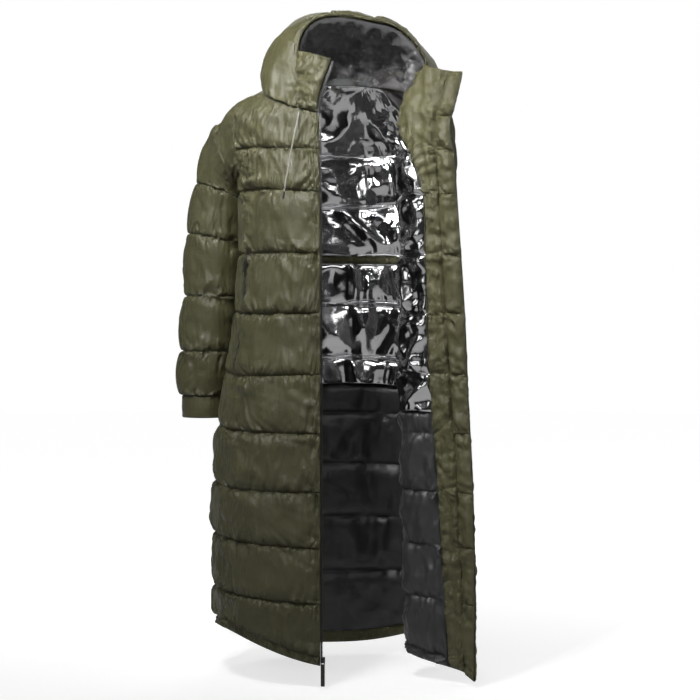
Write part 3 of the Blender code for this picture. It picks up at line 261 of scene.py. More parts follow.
# ---------------------------------------------------------------- the coat's surface
FOLD_VIEW = np.array((-0.17, -0.985))
FOLD_REACH_BACK, FOLD_REACH_ON, SIDE_REACH = 0.055, 0.030, 0.115
SECTION_NAMES = ("right", "left", "front", "back", "zip_right", "side", "side_left")


def channel_of(row):
    return np.minimum(row.astype(int), COLLAR_ROW - 1)


def row_height(girth, row):
    girth, row = pair(girth, row)
    row = np.clip(row, 0.0, COLLAR_ROW)
    i = channel_of(row)
    lines = np.stack([through(np.arange(7), line, girth) for line in ROWS])
    low, high = (np.take_along_axis(lines, i[None] + k, 0)[0] for k in (0, 1))
    return low + (high - low) * (row - i)


def ring_at(s, angle):
    """Point of the body's section at an angle, on a rounded square's outline."""
    power = 2 / ROUNDNESS
    width = np.where(angle > -math.pi / 2, -s["right"], s["left"])
    depth = np.where(angle > 0, -s["front"], s["back"])
    return stack(width * np.abs(np.cos(angle)) ** power, depth * np.abs(np.sin(angle)) ** power)


def body_point(girth, row):
    girth, row = pair(girth, row)
    height = row_height(girth, row)
    s = {name: column(SECTIONS, k + 1, height) for k, name in enumerate(SECTION_NAMES)}
    left = np.arcsin((np.maximum(s["side_left"], 0) / s["back"]) ** (ROUNDNESS / 2)) - math.pi
    zip_angle = np.arccos(np.minimum(1, (s["zip_right"] / s["right"]) ** (ROUNDNESS / 2)))
    side = np.arcsin((s["side"] / s["front"]) ** (ROUNDNESS / 2))
    half = math.pi / 2
    angle = np.where(girth <= 1, zip_angle + (side - zip_angle) * girth,
                     np.where(girth <= 2, side + (-half - side) * (girth - 1),
                              -half + (left + half) * (girth - 2)))
    c = [column(LAPEL, k, height) for k in range(1, 7)]
    fold, zip_line, edge = stack(c[0], c[1]), stack(c[2], c[3]), stack(c[4], c[5])
    seam = ring_at(s, left)
    onward = unit(seam - ring_at(s, left + 0.02))
    out = unit(edge - zip_line)
    g = girth[..., None]
    before = bezier(seam, seam + onward * SIDE_REACH, fold - FOLD_VIEW * FOLD_REACH_BACK, fold,
                    np.clip(g - 3, 0, 1))
    after = bezier(fold, fold + FOLD_VIEW * FOLD_REACH_ON, zip_line - out * FOLD_REACH_ON, zip_line,
                   np.clip(g - 4, 0, 1))
    flap = zip_line + (edge - zip_line) * (g - 5)
    flat = np.where(g <= 3, ring_at(s, angle), np.where(g <= 4, before, np.where(g <= 5, after, flap)))
    return np.concatenate([flat, height[..., None]], axis=-1)


def body_normal(girth, row, step=0.004):
    """Unit normal away from the wearer's side of the cloth."""
    row = np.clip(row, 0.01, COLLAR_ROW - 0.01)
    around = body_point(girth + step, row) - body_point(girth - step, row)
    up = body_point(girth, row + step) - body_point(girth, row - step)
    return unit(np.cross(up, around))


def on_body(girth, row):
    return body_point(girth, row), body_normal(girth, row)


def raglan(name, row):
    row = np.asarray(row, float)
    share = column(ARMHOLES, RAGLANS[name], np.minimum(row, NECK_ROW))
    return np.where(row <= ARMPIT_ROW, 0.0, np.maximum(share, 0.0))


def facing_edge(row):
    return 4 + column(FACING_EDGES, 1, row)


# each span gives the first and last girth of a piece at its rows
def front_span(row):
    return GIRTH_GAP + 0 * row, 1 - raglan("front", row) - GIRTH_GAP


def back_span(row):
    return 1 + raglan("back", row) + GIRTH_GAP, 3 - raglan("back_left", row) - GIRTH_GAP


def left_span(row):
    return 3 + raglan("front_left", row) + GIRTH_GAP, 5 - GIRTH_GAP + 0 * row


def left_lining_span(row):
    return left_span(row)[0], facing_edge(row) - GIRTH_GAP


def left_hood_span(row):
    return left_span(row)[0], facing_edge(row)


def facing_span(row):
    return facing_edge(row) + GIRTH_GAP, left_span(row)[1]


def flap_span(row):
    return 5 + 2 * GIRTH_GAP + 0 * row, 6 + 0 * row


# ---------------------------------------------------------------- sampling
def paced(count, ease):
    """Shares 0 to 1, closer together at both ends."""
    k = np.arange(count + 1) / count
    return k - ease * np.sin(2 * np.pi * k) / (2 * np.pi)


# grid rows below the hem's stitching, and how much closer rows lie at a seam and columns at an edge
HEM_ROWS, ROW_EASE, COLUMN_EASE = 5, 0.6, 0.5


def seam_rows(first, last, per_row):
    """Rows of a fine grid, closer at each seam, which all lie on a grid row."""
    stops = [first, *range(math.ceil(first + 1e-6), math.ceil(last - 1e-6)), last]
    rows = []
    for a, b in zip(stops, stops[1:]):
        count = HEM_ROWS if b <= 1 else max(2, round(per_row * (b - a)))
        rows.extend(a + (b - a) * paced(count, ROW_EASE if b > 1 else 0)[:-1])
    return np.array([*rows, last])


def span_grid(span, rows, columns):
    shares = paced(columns, COLUMN_EASE)
    low, high = span(rows)
    girths = low[:, None] + (high - low)[:, None] * shares[None]
    return girths, np.repeat(rows[:, None], columns + 1, axis=1), shares


# sines in a layer of noise, how far they are bent, and how much less each finer layer counts
SINES, SINE_WARP, OCTAVE_FALL = 5, 1.7, 1.6


def waves(points, size, seed, octaves=3):
    """Smooth noise about -1 to 1 at points, from sums of sines with seeded ways and phases."""
    chance = np.random.RandomState(seed)
    total, weight = 0.0, 0.0
    for octave in range(octaves):
        scale = 2 ** octave / size
        for _ in range(SINES):
            way = chance.normal(size=points.shape[-1])
            way *= 2 * np.pi * scale / np.linalg.norm(way)
            bend = chance.normal(size=points.shape[-1]) * 0.5 * np.pi * scale
            phase = chance.uniform(0, 2 * np.pi, 2)
            warp = np.sin(points @ bend + phase[1])
            total = total + np.sin(points @ way + phase[0] + SINE_WARP * warp) / (OCTAVE_FALL ** octave)
        weight += SINES ** 0.5 / (OCTAVE_FALL ** octave)
    return total / weight


# ---------------------------------------------------------------- cloth under pressure
PANEL_STEPS, HOOD_STEPS, COLLAR_STEPS = ((110, 110, 90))
SINK = 0.0006           # how far cloth may sink below its seam line
# how firmly short and slanting threads are put right, and how far the pressure fades by the end
SQUEEZE, SLANT_PULL, PUSH_FADE = 0.6, 0.25, 0.65


def differences(x, axis, closed=False):
    """Central differences of a grid along an axis, one-sided at its open ends."""
    if closed:
        return np.roll(x, -1, axis) - np.roll(x, 1, axis)
    x = np.moveaxis(x, axis, 0)
    made = np.empty_like(x)
    made[1:-1] = x[2:] - x[:-2]
    made[0], made[-1] = x[1] - x[0], x[-1] - x[-2]
    return np.moveaxis(made, 0, axis)


def grid_normals(x, closed=False):
    normals = np.cross(differences(x, 0), differences(x, 1, closed))
    return normals / (np.linalg.norm(normals, axis=-1, keepdims=True) + 1e-12)


def pull_pairs(x, free, a, b, rest, stretch, squeeze):
    """Moves the points of each pair towards their rest distance."""
    xa, xb, fa, fb = x[a], x[b], free[a], free[b]
    d = xb - xa
    length = np.sqrt((d * d).sum(-1)) + 1e-9
    over = (length - rest) / length
    over = np.where(over > 0, over * stretch, over * squeeze) / np.maximum(fa + fb, 1e-6)
    move = d * over[..., None]
    x[a] = xa + move * fa[..., None]
    x[b] = xb - move * fb[..., None]


def every_other(count, odd):
    return slice(odd, count - 1, 2), slice(odd + 1, count, 2)


def settle(start, base, normals, fixed, rest, push, steps, floor, ceiling, bend=0.25, closed=False):
    """Cloth grid blown up by pressure between its fixed points, on its own side of a plain wall.

    rest holds the lengths along the rows and up the columns. A fuller cloth than the space
    between its seams buckles, which gives the puckers."""
    x, base, normals, rest_u, rest_v = (a.astype(np.float32) for a in (start, base, normals, *rest))
    free = (~fixed).astype(np.float32)
    weight = free[..., None]
    rows, columns = free.shape
    whole, front, back = slice(None), slice(0, -1), slice(1, None)
    diagonal = np.sqrt(rest_u[:-1, :columns - 1] ** 2 + rest_v[:, :columns - 1] ** 2)
    along, up, slants = [], [], []
    for odd in (0, 1):
        a, b = every_other(columns, odd)
        if closed:
            a = np.arange(odd, columns, 2)
            b = (a + 1) % columns
        along.append(((whole, a), (whole, b), rest_u[:, a]))
        a, b = every_other(rows, odd)
        up.append(((a, whole), (b, whole), rest_v[a]))
        slants += [((a, front), (b, back), diagonal[a]), ((a, back), (b, front), diagonal[a])]
    if (grid_normals(base, closed) * normals).sum(-1).mean() < 0:
        push = -push
    for step in range(steps):
        x += grid_normals(x, closed) * (push * (1 - PUSH_FADE * step / steps)) * weight
        for a, b, length in 2 * (along + up):
            pull_pairs(x, free, a, b, length, 1.0, SQUEEZE)
        for a, b, length in slants:
            pull_pairs(x, free, a, b, length, SLANT_PULL, SLANT_PULL)
        middle = x.copy()
        middle[1:-1] = (x[:-2] + x[2:]) / 2
        x += (middle - x) * (bend * weight)
        if closed:
            middle = (np.roll(x, 1, 1) + np.roll(x, -1, 1)) / 2
        else:
            middle = x.copy()
            middle[:, 1:-1] = (x[:, :-2] + x[:, 2:]) / 2
        x += (middle - x) * (bend * 0.5 * weight)
        height = ((x - base) * normals).sum(-1)
        x += normals * ((np.clip(height, floor, ceiling) - height) * free)[..., None]
    return x.astype(float)


def lengths(points, closed=False):
    """Distances along the rows and up the columns of a grid."""
    beside = np.roll(points, -1, 1) - points
    along = np.linalg.norm(beside if closed else beside[:, :-1], axis=-1)
    return along, np.linalg.norm(points[1:] - points[:-1], axis=-1)


def edges_of(shape):
    """Marks the four edges of a grid."""
    marks = np.zeros(shape, bool)
    marks[[0, -1]] = True
    marks[:, [0, -1]] = True
    return marks


def ruffled(shaped, base, normals, fixed, seed, rough, sizes=(0.045, 0.018), second=0.6):
    """Cloth with small chance heights between its fixed points, for the pressure to work on."""
    chance = waves(base, sizes[0], seed) + second * waves(base, sizes[1], seed + 1)
    return shaped + normals * (chance * rough * ~fixed)[..., None]


# ---------------------------------------------------------------- puckers
# size along the seam, height and reach of a seam's fine, middling and wide puckers
PUCKERS = ((0.011, 0.0008, 0.008), (0.021, 0.0014, 0.019), (0.044, 0.0022, 0.045))
# scale of the puckers away from their seam, how far they slant, and how close to it they start
PUCKER_STRETCH, PUCKER_SLANT, FLAT_BESIDE_SEAM = 0.18, 0.6, 0.0022
# size of the filling's lumps, and how far from a seam they are pressed flat and cloth is gathered
LUMP_SIZE, PRESSED_REACH, GATHERED_REACH = 0.085, 0.012, 0.030


def tracked(run, away, track):
    """Noise coordinates beside a seam: along it, across it stretched, and a place of its own."""
    place = track[..., None] + 0 * run[..., :1]
    return np.concatenate([run, away[..., None] * PUCKER_STRETCH, place], axis=-1)


def puckers(run, away, track, seed, strength, reach, fine):
    """How far cloth stands off beside a seam, at a run along it and a distance away from it.

    run holds one coordinate, or two where the seam is a closed ring. Small puckers die out close
    to the seam, and larger ones carry on further: rounded ridges with sharp valleys between."""
    run = run if run.ndim > away.ndim else run[..., None]
    track = np.asarray(track, float) + 0 * away
    beside = tracked(run, 0 * away, track)
    uneven = np.clip(0.62 + 0.45 * waves(beside, 0.09, seed + 5, 1), 0.15, 1.5)
    total = 0.0
    for k, ((size, height, far), share) in enumerate(zip(PUCKERS, (fine, 1, 1))):
        moved = run.copy()
        moved[..., 0] = moved[..., 0] + PUCKER_SLANT * waves(beside, 0.12, seed + 9 + k, 1) * away
        ridge = np.abs(waves(tracked(moved, away, track * 7.3 * size), size, seed + k, 2)) ** 0.85 - 0.45
        total = total + height * share * np.exp(-(away / (far * reach * uneven)) ** 1.3) * ridge
    return strength * total * (1 - np.exp(-away / FLAT_BESIDE_SEAM))


def creases(points, seed, sizes):
    """Facets and sharp valleys of crumpled stuff: sizes and heights of its layers."""
    total = 0.0
    for k, (size, height) in enumerate(sizes):
        total = total + height * (0.55 - np.abs(waves(points, size, seed + k, 2)) ** 0.9)
    return total


def crumple(points, base, normals, fixed, low, seams, seed, lump, folds=(), top=None, fine=1.0,
            drag=None, grain=(1, 1, 1), stand=0.0):
    """Adds each seam's puckers (run, away, track, strength, reach), lumps of the filling and folds.

    Nothing sinks deeper than low above the plain wall. Gives how gathered the cloth is as well,
    from 1 at a seam to 0 well inside a panel."""
    add = 0.0
    for k, (run, away, track, strength, reach) in enumerate(seams):
        add = add + puckers(run, away, track, seed + 31 * k, strength, reach, fine)
    nearest = np.minimum.reduce(np.broadcast_arrays(*(seam[1] for seam in seams)))
    add = add + lump * waves(base, LUMP_SIZE, seed + 4, 2) * (1 - np.exp(-nearest / PRESSED_REACH))
    if folds:
        loose = 1 - np.exp(-nearest / (PRESSED_REACH * 0.5))
        add = add + (creases(base * np.array(grain), seed + 6, folds) + stand) * loose
    uneven = np.clip(0.75 + 0.5 * waves(base, 0.07, seed + 17, 1), 0.2, 1.5)
    gathered = np.exp(-(nearest / (GATHERED_REACH * uneven)) ** 1.2)
    if drag:
        size, height, stretch = drag
        pulled = creases(base * np.array((1, 1, stretch)), seed + 8, ((size, height),))
        add = add + pulled * np.clip(0.2 + 0.5 * waves(base, 0.16, seed + 9, 1) + 1.3 * gathered, 0, 1.6)
    moved = points + normals * (add * ~fixed)[..., None]
    height = dot(moved - base, normals)[..., 0]
    kept = np.maximum(height, low)
    if top is not None:
        kept = np.minimum(kept, np.maximum(top, low))
    return moved + normals * (kept - height)[..., None], gathered


# ---------------------------------------------------------------- meshes
STITCH_PITCH, STITCH_LENGTH, STITCH_WIDTH = 0.0042, 0.0030, 0.0009
STITCH_HEIGHT, STITCH_SINK = 0.0007, 0.0003
STITCH_FACES = ((0, 2, 4), (2, 1, 4), (1, 3, 4), (3, 0, 4), (0, 3, 2), (3, 1, 2))
SEWN = {}


def add_object(name, data, body="coat"):
    made = bpy.data.objects.new(name, data)
    bpy.context.scene.collection.objects.link(made)
    if body:
        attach(made, body)
    return made


def add_mesh(name, points, faces, materials, slots=None, smooth=True, gathered=None, body="coat"):
    mesh = bpy.data.meshes.new(name)
    mesh.from_pydata([tuple(p) for p in points], [], faces)
    for item in materials:
        mesh.materials.append(item)
    if slots is not None:
        mesh.polygons.foreach_set("material_index", slots)
    mesh.polygons.foreach_set("use_smooth", [smooth] * len(mesh.polygons))
    mesh.validate()
    mesh.update()
    if gathered is not None:
        values = np.zeros(len(points), np.float32)
        values[:gathered.size] = gathered.ravel()
        mesh.attributes.new("gathered", "FLOAT", "POINT").data.foreach_set("value", values)
    return add_object(name, mesh, body)


def add_copies(name, shapes, faces, material, smooth=True):
    """One mesh of many small things with the same faces."""
    faces = np.arange(len(shapes))[:, None, None] * shapes.shape[1] + np.array(faces)
    faces = faces.reshape(-1, faces.shape[-1]).tolist()
    return add_mesh(name, shapes.reshape(-1, 3), faces, [material], smooth=smooth)


def quads(rows, columns, closed, start=0, flip=False):
    """Faces of a grid of points that are numbered from start."""
    i, j = np.meshgrid(np.arange(rows - 1), np.arange(columns if closed else columns - 1), indexing="ij")
    k = (j + 1) % columns
    a, b, c, d = i * columns + j, i * columns + k, (i + 1) * columns + k, (i + 1) * columns + j
    return (start + np.stack((a, d, c, b) if flip else (a, b, c, d), axis=-1).reshape(-1, 4)).tolist()


def wall(outer, inner, closed, coarse):
    """Points, faces and slots of a closed wall: a fine outer grid and a coarse inner one.

    inner has the same grid as outer; only every few of its lines are used."""
    rows, columns = outer.shape[:2]
    pick_i = [*range(0, rows - 1, coarse), rows - 1]
    pick_j = [*range(0, columns, coarse)] if closed else [*range(0, columns - 1, coarse), columns - 1]
    points = np.concatenate([outer.reshape(-1, 3), inner[np.ix_(pick_i, pick_j)].reshape(-1, 3)])
    start, width = rows * columns, len(pick_j)
    seen = quads(rows, columns, closed)
    hidden = quads(len(pick_i), width, closed, start, flip=True)
    edges = []

    def close(fine, far, close_by, flip):
        face = [*fine, start + far, start + close_by]
        edges.append(face[::-1] if flip else face)

    for line, flip in ((0, True), (rows - 1, False)):
        at = pick_i.index(line) * width
        for n, (a, b) in enumerate(zip(pick_j, [*pick_j[1:], *[columns] * closed])):
            close([line * columns + m % columns for m in range(a, b + 1)], at + (n + 1) % width, at + n, flip)
    for line, flip in () if closed else ((0, False), (columns - 1, True)):
        at = pick_j.index(line)
        for n, (a, b) in enumerate(zip(pick_i, pick_i[1:])):
            close([m * columns + line for m in range(a, b + 1)], (n + 1) * width + at, n * width + at, flip)
    return points, seen + hidden + edges, [0] * len(seen) + [1] * len(hidden) + [0] * len(edges)


def add_wall(name, outer, inner, slot, *replaced, inside=None, closed=False, coarse=4, gathered=None):
    """A closed wall of cloth that stands in for the soft solids it replaces."""
    points, faces, slots = wall(outer, inner, closed, coarse)
    across, up = outer[:, 1:] - outer[:, :-1], outer[1:] - outer[:-1]
    if (np.cross(across[:-1], up[:, :-1]) * (outer - inner)[:-1, :-1]).sum() < 0:
        faces = [face[::-1] for face in faces]
    made = add_mesh(name, points, faces, [FINISH[slot], FINISH[inside or slot]], slots, gathered=gathered)
    return piece(made, slot, *replaced)


def piece(made, slot, *replaced):
    if replaced:
        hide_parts(*replaced)
    return made


def cut_from(cloth, rests_on, closed=False):
    """Measures the lengths along a sheet's grid, and keeps nothing from them."""
    along, up = lengths(cloth, closed)
    beside, first = (np.roll(cloth, -1, 1), cloth) if closed else (cloth[:, 1:], cloth[:, :-1])


def sew(group, line, ways):
    """Adds a row of stitches along a line of points to a group of threads."""
    run = run_of(line)
    if run[-1] < 3 * STITCH_PITCH:
        return
    at = np.arange(STITCH_PITCH, run[-1] - STITCH_PITCH, STITCH_PITCH)
    spot, way = read_off(at, run, line), unit(read_off(at, run, ways))
    along = unit(read_off(at + 0.001, run, line) - spot)
    aside = unit(np.cross(way, along))
    SEWN.setdefault(group, []).append(np.stack([
        spot - along * STITCH_LENGTH / 2 - way * STITCH_SINK,
        spot + along * STITCH_LENGTH / 2 - way * STITCH_SINK,
        spot + aside * STITCH_WIDTH / 2, spot - aside * STITCH_WIDTH / 2, spot + way * STITCH_HEIGHT], 1))


def sew_lines(group, points, ways, lines, axis=0):
    """Stitches along some of a grid's own lines."""
    for k in lines:
        sew(group, np.take(points, k, axis), np.take(ways, k, axis))


def build_threads():
    """One mesh of stitches for each group of seams."""
    for group, rows in SEWN.items():
        add_copies("stitches_" + group, np.concatenate(rows), STITCH_FACES, THREAD)


# ---------------------------------------------------------------- finishes
class Nodes:
    """Short way to write a procedural material."""

    def __init__(self, name):
        self.material = bpy.data.materials.new(name)
        self.material.use_nodes = True
        self.tree = self.material.node_tree
        self.shader = self.tree.nodes["Principled BSDF"]
        self.place = self.add("ShaderNodeTexCoord").outputs["Object"]

    def add(self, kind, **values):
        node = self.tree.nodes.new(kind)
        for key, value in values.items():
            setattr(node, key, value)
        return node

    def link(self, output, socket):
        self.tree.links.new(output, socket)

    def give(self, socket, value):
        """Sets a socket to a number or a colour, or links an output to it."""
        if isinstance(value, (int, float)):
            socket.default_value = value
        elif isinstance(value, tuple):
            socket.default_value = (*value, 1)
        else:
            self.link(value, socket)

    def mapped(self, scale):
        mapping = self.add("ShaderNodeMapping")
        mapping.inputs["Scale"].default_value = scale
        self.link(self.place, mapping.inputs["Vector"])
        return mapping.outputs["Vector"]

    def noise(self, size, detail=2, roughness=0.5, distortion=0.0, stretch=(1, 1, 1)):
        place = self.mapped(stretch)
        node = self.add("ShaderNodeTexNoise")
        for key, number in (("Scale", 1 / size), ("Detail", detail), ("Roughness", roughness),
                            ("Distortion", distortion)):
            node.inputs[key].default_value = number
        self.link(place, node.inputs["Vector"])
        return node.outputs["Fac"]

    def ramp(self, value, low, high, a=0.0, b=1.0):
        node = self.add("ShaderNodeMapRange")
        for key, number in (("From Min", low), ("From Max", high), ("To Min", a), ("To Max", b)):
            node.inputs[key].default_value = number
        self.link(value, node.inputs["Value"])
        return node.outputs["Result"]

    def mix(self, value, a, b):
        node = self.add("ShaderNodeMix", data_type="RGBA")
        self.link(value, node.inputs["Factor"])
        self.give(node.inputs[6], a)
        self.give(node.inputs[7], b)
        return node.outputs[2]

    def math(self, operation, a, b):
        node = self.add("ShaderNodeMath", operation=operation)
        self.give(node.inputs[0], a)
        self.give(node.inputs[1], b)
        return node.outputs[0]

    def split(self, value):
        node = self.add("ShaderNodeSeparateXYZ")
        self.link(value, node.inputs["Vector"])
        return node.outputs

    def color(self, value):
        self.give(self.shader.inputs["Base Color"], value)

    def bump(self, *layers):
        """Layers of (height output, distance in metres)."""
        normal = None
        for height, distance in layers:
            node = self.add("ShaderNodeBump")
            node.inputs["Distance"].default_value = distance
            node.inputs["Strength"].default_value = 1.0
            self.link(height, node.inputs["Height"])
            if normal is not None:
                self.link(normal, node.inputs["Normal"])
            normal = node.outputs["Normal"]
        self.link(normal, self.shader.inputs["Normal"])

    def set(self, **values):
        for key, value in values.items():
            self.shader.inputs[key.replace("_", " ")].default_value = value


WEAVE_PITCH = 0.0011


def weave(nodes):
    """Fine rib of a woven cloth."""
    split = nodes.split(nodes.mapped((1 / WEAVE_PITCH,) * 3))
    up = nodes.math("SINE", nodes.math("MULTIPLY", split["Z"], 2 * math.pi), 0)
    along = nodes.math("ADD", split["X"], split["Y"])
    across = nodes.math("SINE", nodes.math("MULTIPLY", along, 2 * math.pi), 0)
    return nodes.math("MULTIPLY", up, across)


def olive(name, color, roughness):
    """Olive nylon, with bumps that are strongest where the cloth is gathered into a seam."""
    nodes = Nodes(name)
    dark, light = (tuple(c * share for c in color) for share in (0.86, 1.10))
    nodes.color(nodes.mix(nodes.ramp(nodes.noise(0.09, 4, 0.6), 0.3, 0.7), dark, light))
    nodes.link(nodes.ramp(nodes.noise(0.02, 3), 0.3, 0.7, roughness - 0.04, roughness + 0.05),
               nodes.shader.inputs["Roughness"])
    nodes.set(Sheen_Weight=0.05, Sheen_Roughness=0.4, Sheen_Tint=(0.75, 0.74, 0.62, 1.0),
              Specular_IOR_Level=0.38)
    near_seam = nodes.add("ShaderNodeAttribute", attribute_name="gathered").outputs["Fac"]
    fine = nodes.math("MULTIPLY", nodes.noise(0.0075, 2, 0.5, 0.5, (1, 1, 0.22)), near_seam)
    wide = nodes.math("MULTIPLY", nodes.noise(0.019, 2, 0.5, 0.3, (1, 1, 0.32)),
                      nodes.ramp(near_seam, 0, 0.8, 0.12, 1.0))
    nodes.bump((nodes.noise(0.050, 2, 0.5, 0.4), 0.0030), (wide, 0.0085), (fine, 0.0050),
               (nodes.noise(0.007, 3, 0.5, 0.4), 0.0005), (weave(nodes), 0.00006))
    return nodes.material


def film(name, color, roughness):
    """Crinkled metallic film of the lining's upper parts."""
    nodes = Nodes(name)
    nodes.color(color)
    nodes.set(Metallic=1.0, Roughness=roughness)
    nodes.bump((nodes.noise(0.030, 2, 0.5, 0.8), 0.0005), (nodes.noise(0.008, 2, 0.5, 0.6), 0.00012),
               (nodes.noise(0.0022, 2, 0.5, 0.5), 0.00002))
    return nodes.material


SATIN_BUMP = 0.0030


def satin(name, color, roughness, sheen, deep=None):
    """Smooth lining cloth; deep is its colour at the back of the hood, and color, the darker one, is painted
    shade towards the hood's front rim.
    """
    nodes = Nodes(name)
    if deep:
        # painted shade: the colour darkens from deep in the hood to its front rim
        color = nodes.mix(nodes.ramp(nodes.split(nodes.place)["Y"], -0.09, 0.07), color, deep)
    nodes.color(color)
    nodes.set(Roughness=roughness, Sheen_Weight=sheen, Sheen_Roughness=0.4)
    nodes.bump((nodes.noise(0.040, 2, 0.5, 0.5), SATIN_BUMP), (nodes.noise(0.012), SATIN_BUMP * 0.12))
    return nodes.material


def plain(name, color, roughness, metallic=0.0, grain=0.0015, depth=0.00015):
    """One even colour with a fine grain."""
    nodes = Nodes(name)
    nodes.color(color)
    nodes.set(Roughness=roughness, Metallic=metallic)
    nodes.bump((nodes.noise(grain), depth))
    return nodes.material


FINISH = {
    "olive_nylon": olive("olive_nylon_cloth", (0.052, 0.050, 0.0215), 0.46),
    "olive_facing": olive("olive_facing_cloth", (0.078, 0.074, 0.033), 0.50),
    # hood lining: its dark colour near the front rim is painted shade, its light colour lies deep in the hood
    "hood_lining": satin("hood_lining_satin", (0.048, 0.047, 0.049), 0.38, 0.2, (0.200, 0.197, 0.202)),
    "silver_film": film("silver_lining_film", (0.62, 0.62, 0.63), 0.13),
    "black_lining": satin("black_lining_cloth", (0.030, 0.030, 0.032), 0.42, 0.1),
    "dark_zip": plain("dark_zip_cloth", (0.020, 0.020, 0.019), 0.50),
    "dark_metal": plain("dark_zip_metal", (0.050, 0.050, 0.048), 0.34, 0.8, 0.004, 0.0001),
    "grey_cord": plain("grey_cord_braid", (0.17, 0.165, 0.145), 0.75, 0.0, 0.0009, 0.0004),
}
THREAD = plain("olive_thread", (0.050, 0.048, 0.030), 0.6)


# ---------------------------------------------------------------- quilted body panels
LOFT_SHAPE = 0.48
BODY_BEND = 0.12
# rows and girths of the seam that the right pocket is set in, from the armhole to the side seam
POCKET_SEAM = np.array((
    (5.8, 1.0), (6.05, 0.978), (6.48, 0.953), (6.89, 0.932), (7.39, 0.893), (7.86, 0.895),
    (8.30, 0.900), (8.75, 0.865), (9.22, 0.823), (9.95, 0.708),
))
POCKET_SEAM_WIDTH, POCKET_PUCKER, POCKET_SEAM_ENDS = 0.0035, 3.0, 0.12
# where the sleeves press on the body: girths, spread, share of the loft, highest and lowest
ARM_GIRTHS, ARM_SPREAD, ARM_PRESS, ARM_HEIGHTS = (1.24, 2.76), 0.27, 0.55, (-0.13, -0.70)
# width of the gathered cloth at a panel's sides, and of the rise beside the flat strip at the zip
GATHER_WIDTH, STRIP_RISE = 0.035, 0.03
# distances of stitches from the zip's edge and from the hem, and girths from the pocket's seam
ZIP_STITCHES, HEM_STITCHES, POCKET_STITCHES = (0.0035, 0.0085), (0.004, 0.009), (-0.004, 0.004)
# girth on each side of a side seam, and the heights of its cloth off the body's plain surface
SIDE_SEAM_HALF, SIDE_SEAM_LOW, SIDE_SEAM_HIGH = 0.004, 0.0003, 0.0019
PANELS = {}


def arm_room(girth, height):
    """Share of the loft that is left where the sleeves press on the body."""
    beside = np.maximum(*(near(girth - arm, ARM_SPREAD) for arm in ARM_GIRTHS))
    top, bottom = ARM_HEIGHTS
    along = 1 / (1 + np.exp((height - top) / 0.02)) / (1 + np.exp(-(height - bottom) / 0.03))
    return 1 - ARM_PRESS * beside * along


def channel_loft(girth, row):
    """Number, height and full loft of the channel at each point, and the share of the way up it."""
    channel = channel_of(row)
    tall = row_height(girth, channel + 1) - row_height(girth, channel)
    full = np.minimum(LOFT, LOFT_PER_HEIGHT * tall)
    full = np.where(channel == 0, HEM_LOFT, np.where(channel == NECK_ROW - 1, YOKE_LOFT, full))
    return channel, tall, full * arm_room(girth, row_height(girth, row)), np.clip(row - channel, 0, 1)


def edge_ease(shares):
    return 1 - np.abs(2 * shares - 1) ** 7


def quilt(span, first, last, columns, per_row, seed, full, push, off, rough, edge_full, cap, dig, pucker,
          reach, shape=LOFT_SHAPE, loft=None, flat=1.0, side=1, sewn=True, strip=0.0, line=None, **folding):
    """Points of a stitched, filled piece of the body, blown up between its seams.

    full and edge_full say how much fuller the cloth is than its space, and cap how far it may rise.
    loft is the height of the filling, or flat a share of the CAD's. strip is a flat edge at the zip."""
    rows = seam_rows(first + ROW_GAP, last - ROW_GAP, per_row)
    girths, grid_rows, shares = span_grid(span, rows, columns)
    plain_wall, normals = on_body(girths, grid_rows)
    normals = normals * side
    channel, tall, height, across = channel_loft(girths, grid_rows)
    height = height * edge_ease(shares) * flat if loft is None else loft * edge_ease(shares) + 0 * height
    seam_line = plain_wall + normals * off
    along, _ = lengths(seam_line)
    run, rise = from_start(along, 1), from_start(lengths(plain_wall)[1], 0)
    if strip:
        height = height * np.clip((run - strip) / STRIP_RISE, 0, 1) ** 0.5
    fixed = edges_of(girths.shape)
    if sewn:
        fixed[np.abs(rows - np.round(rows)) < 1e-6] = True
    else:
        shape = 0.1
        across = 0 * across + ((rows - rows[0]) / (rows[-1] - rows[0]))[:, None]
        channel, tall = 0 * channel, plain_wall[-1:, :, 2] - plain_wall[:1, :, 2]
    swell = height * np.maximum(0, np.sin(np.pi * across)) ** shape
    swell[fixed] = 0
    shaped = seam_line + normals * swell[..., None]
    gather = by_ends(run, GATHER_WIDTH, 1)
    rest = along * full[0], lengths(shaped)[1] * (full[1] + edge_full * (gather[1:] + gather[:-1]) / 2)
    cloth = settle(ruffled(shaped, plain_wall, normals, fixed, seed, rough), plain_wall, normals, fixed, rest,
                   push, PANEL_STEPS, off - dig, off + height * cap[0] + cap[1], bend=BODY_BEND)
    seams = [(run, across * tall, 9.0 * channel, pucker[0], reach),
             (run, (1 - across) * tall, 9.0 * channel + 4.5, pucker[0], reach),
             (rise, run[:, -1:] - run, 500.0, pucker[1], 1.2 * reach),
             (rise, np.abs(run - strip), 600.0, pucker[2], reach)]
    if line is not None:
        at = np.interp(rows, line[:, 0], line[:, 1])
        over = np.array([np.interp(g, girths[n], run[n]) for n, g in enumerate(at)])[:, None]
        low, high = (rows - line[0, 0]) / POCKET_SEAM_ENDS, (line[-1, 0] - rows) / POCKET_SEAM_ENDS
        ends = np.clip(low, 0, 1) * np.clip(high, 0, 1)
        away = np.abs(run - over) + 0.03 * (1 - ends[:, None])
        stands = dot(cloth - seam_line, normals)
        cloth = cloth - normals * stands * (0.85 * near(away, POCKET_SEAM_WIDTH))[..., None]
        seams.append((rise, away, 700.0, POCKET_PUCKER, reach))
    cloth, gathered = crumple(cloth, plain_wall, normals, fixed, off - dig, seams, seed, **folding)
    return cloth, plain_wall, normals, gathered, (rows, girths, run)


def nearest_lines(places, wanted):
    return [int(np.argmin(np.abs(places - place))) for place in wanted]


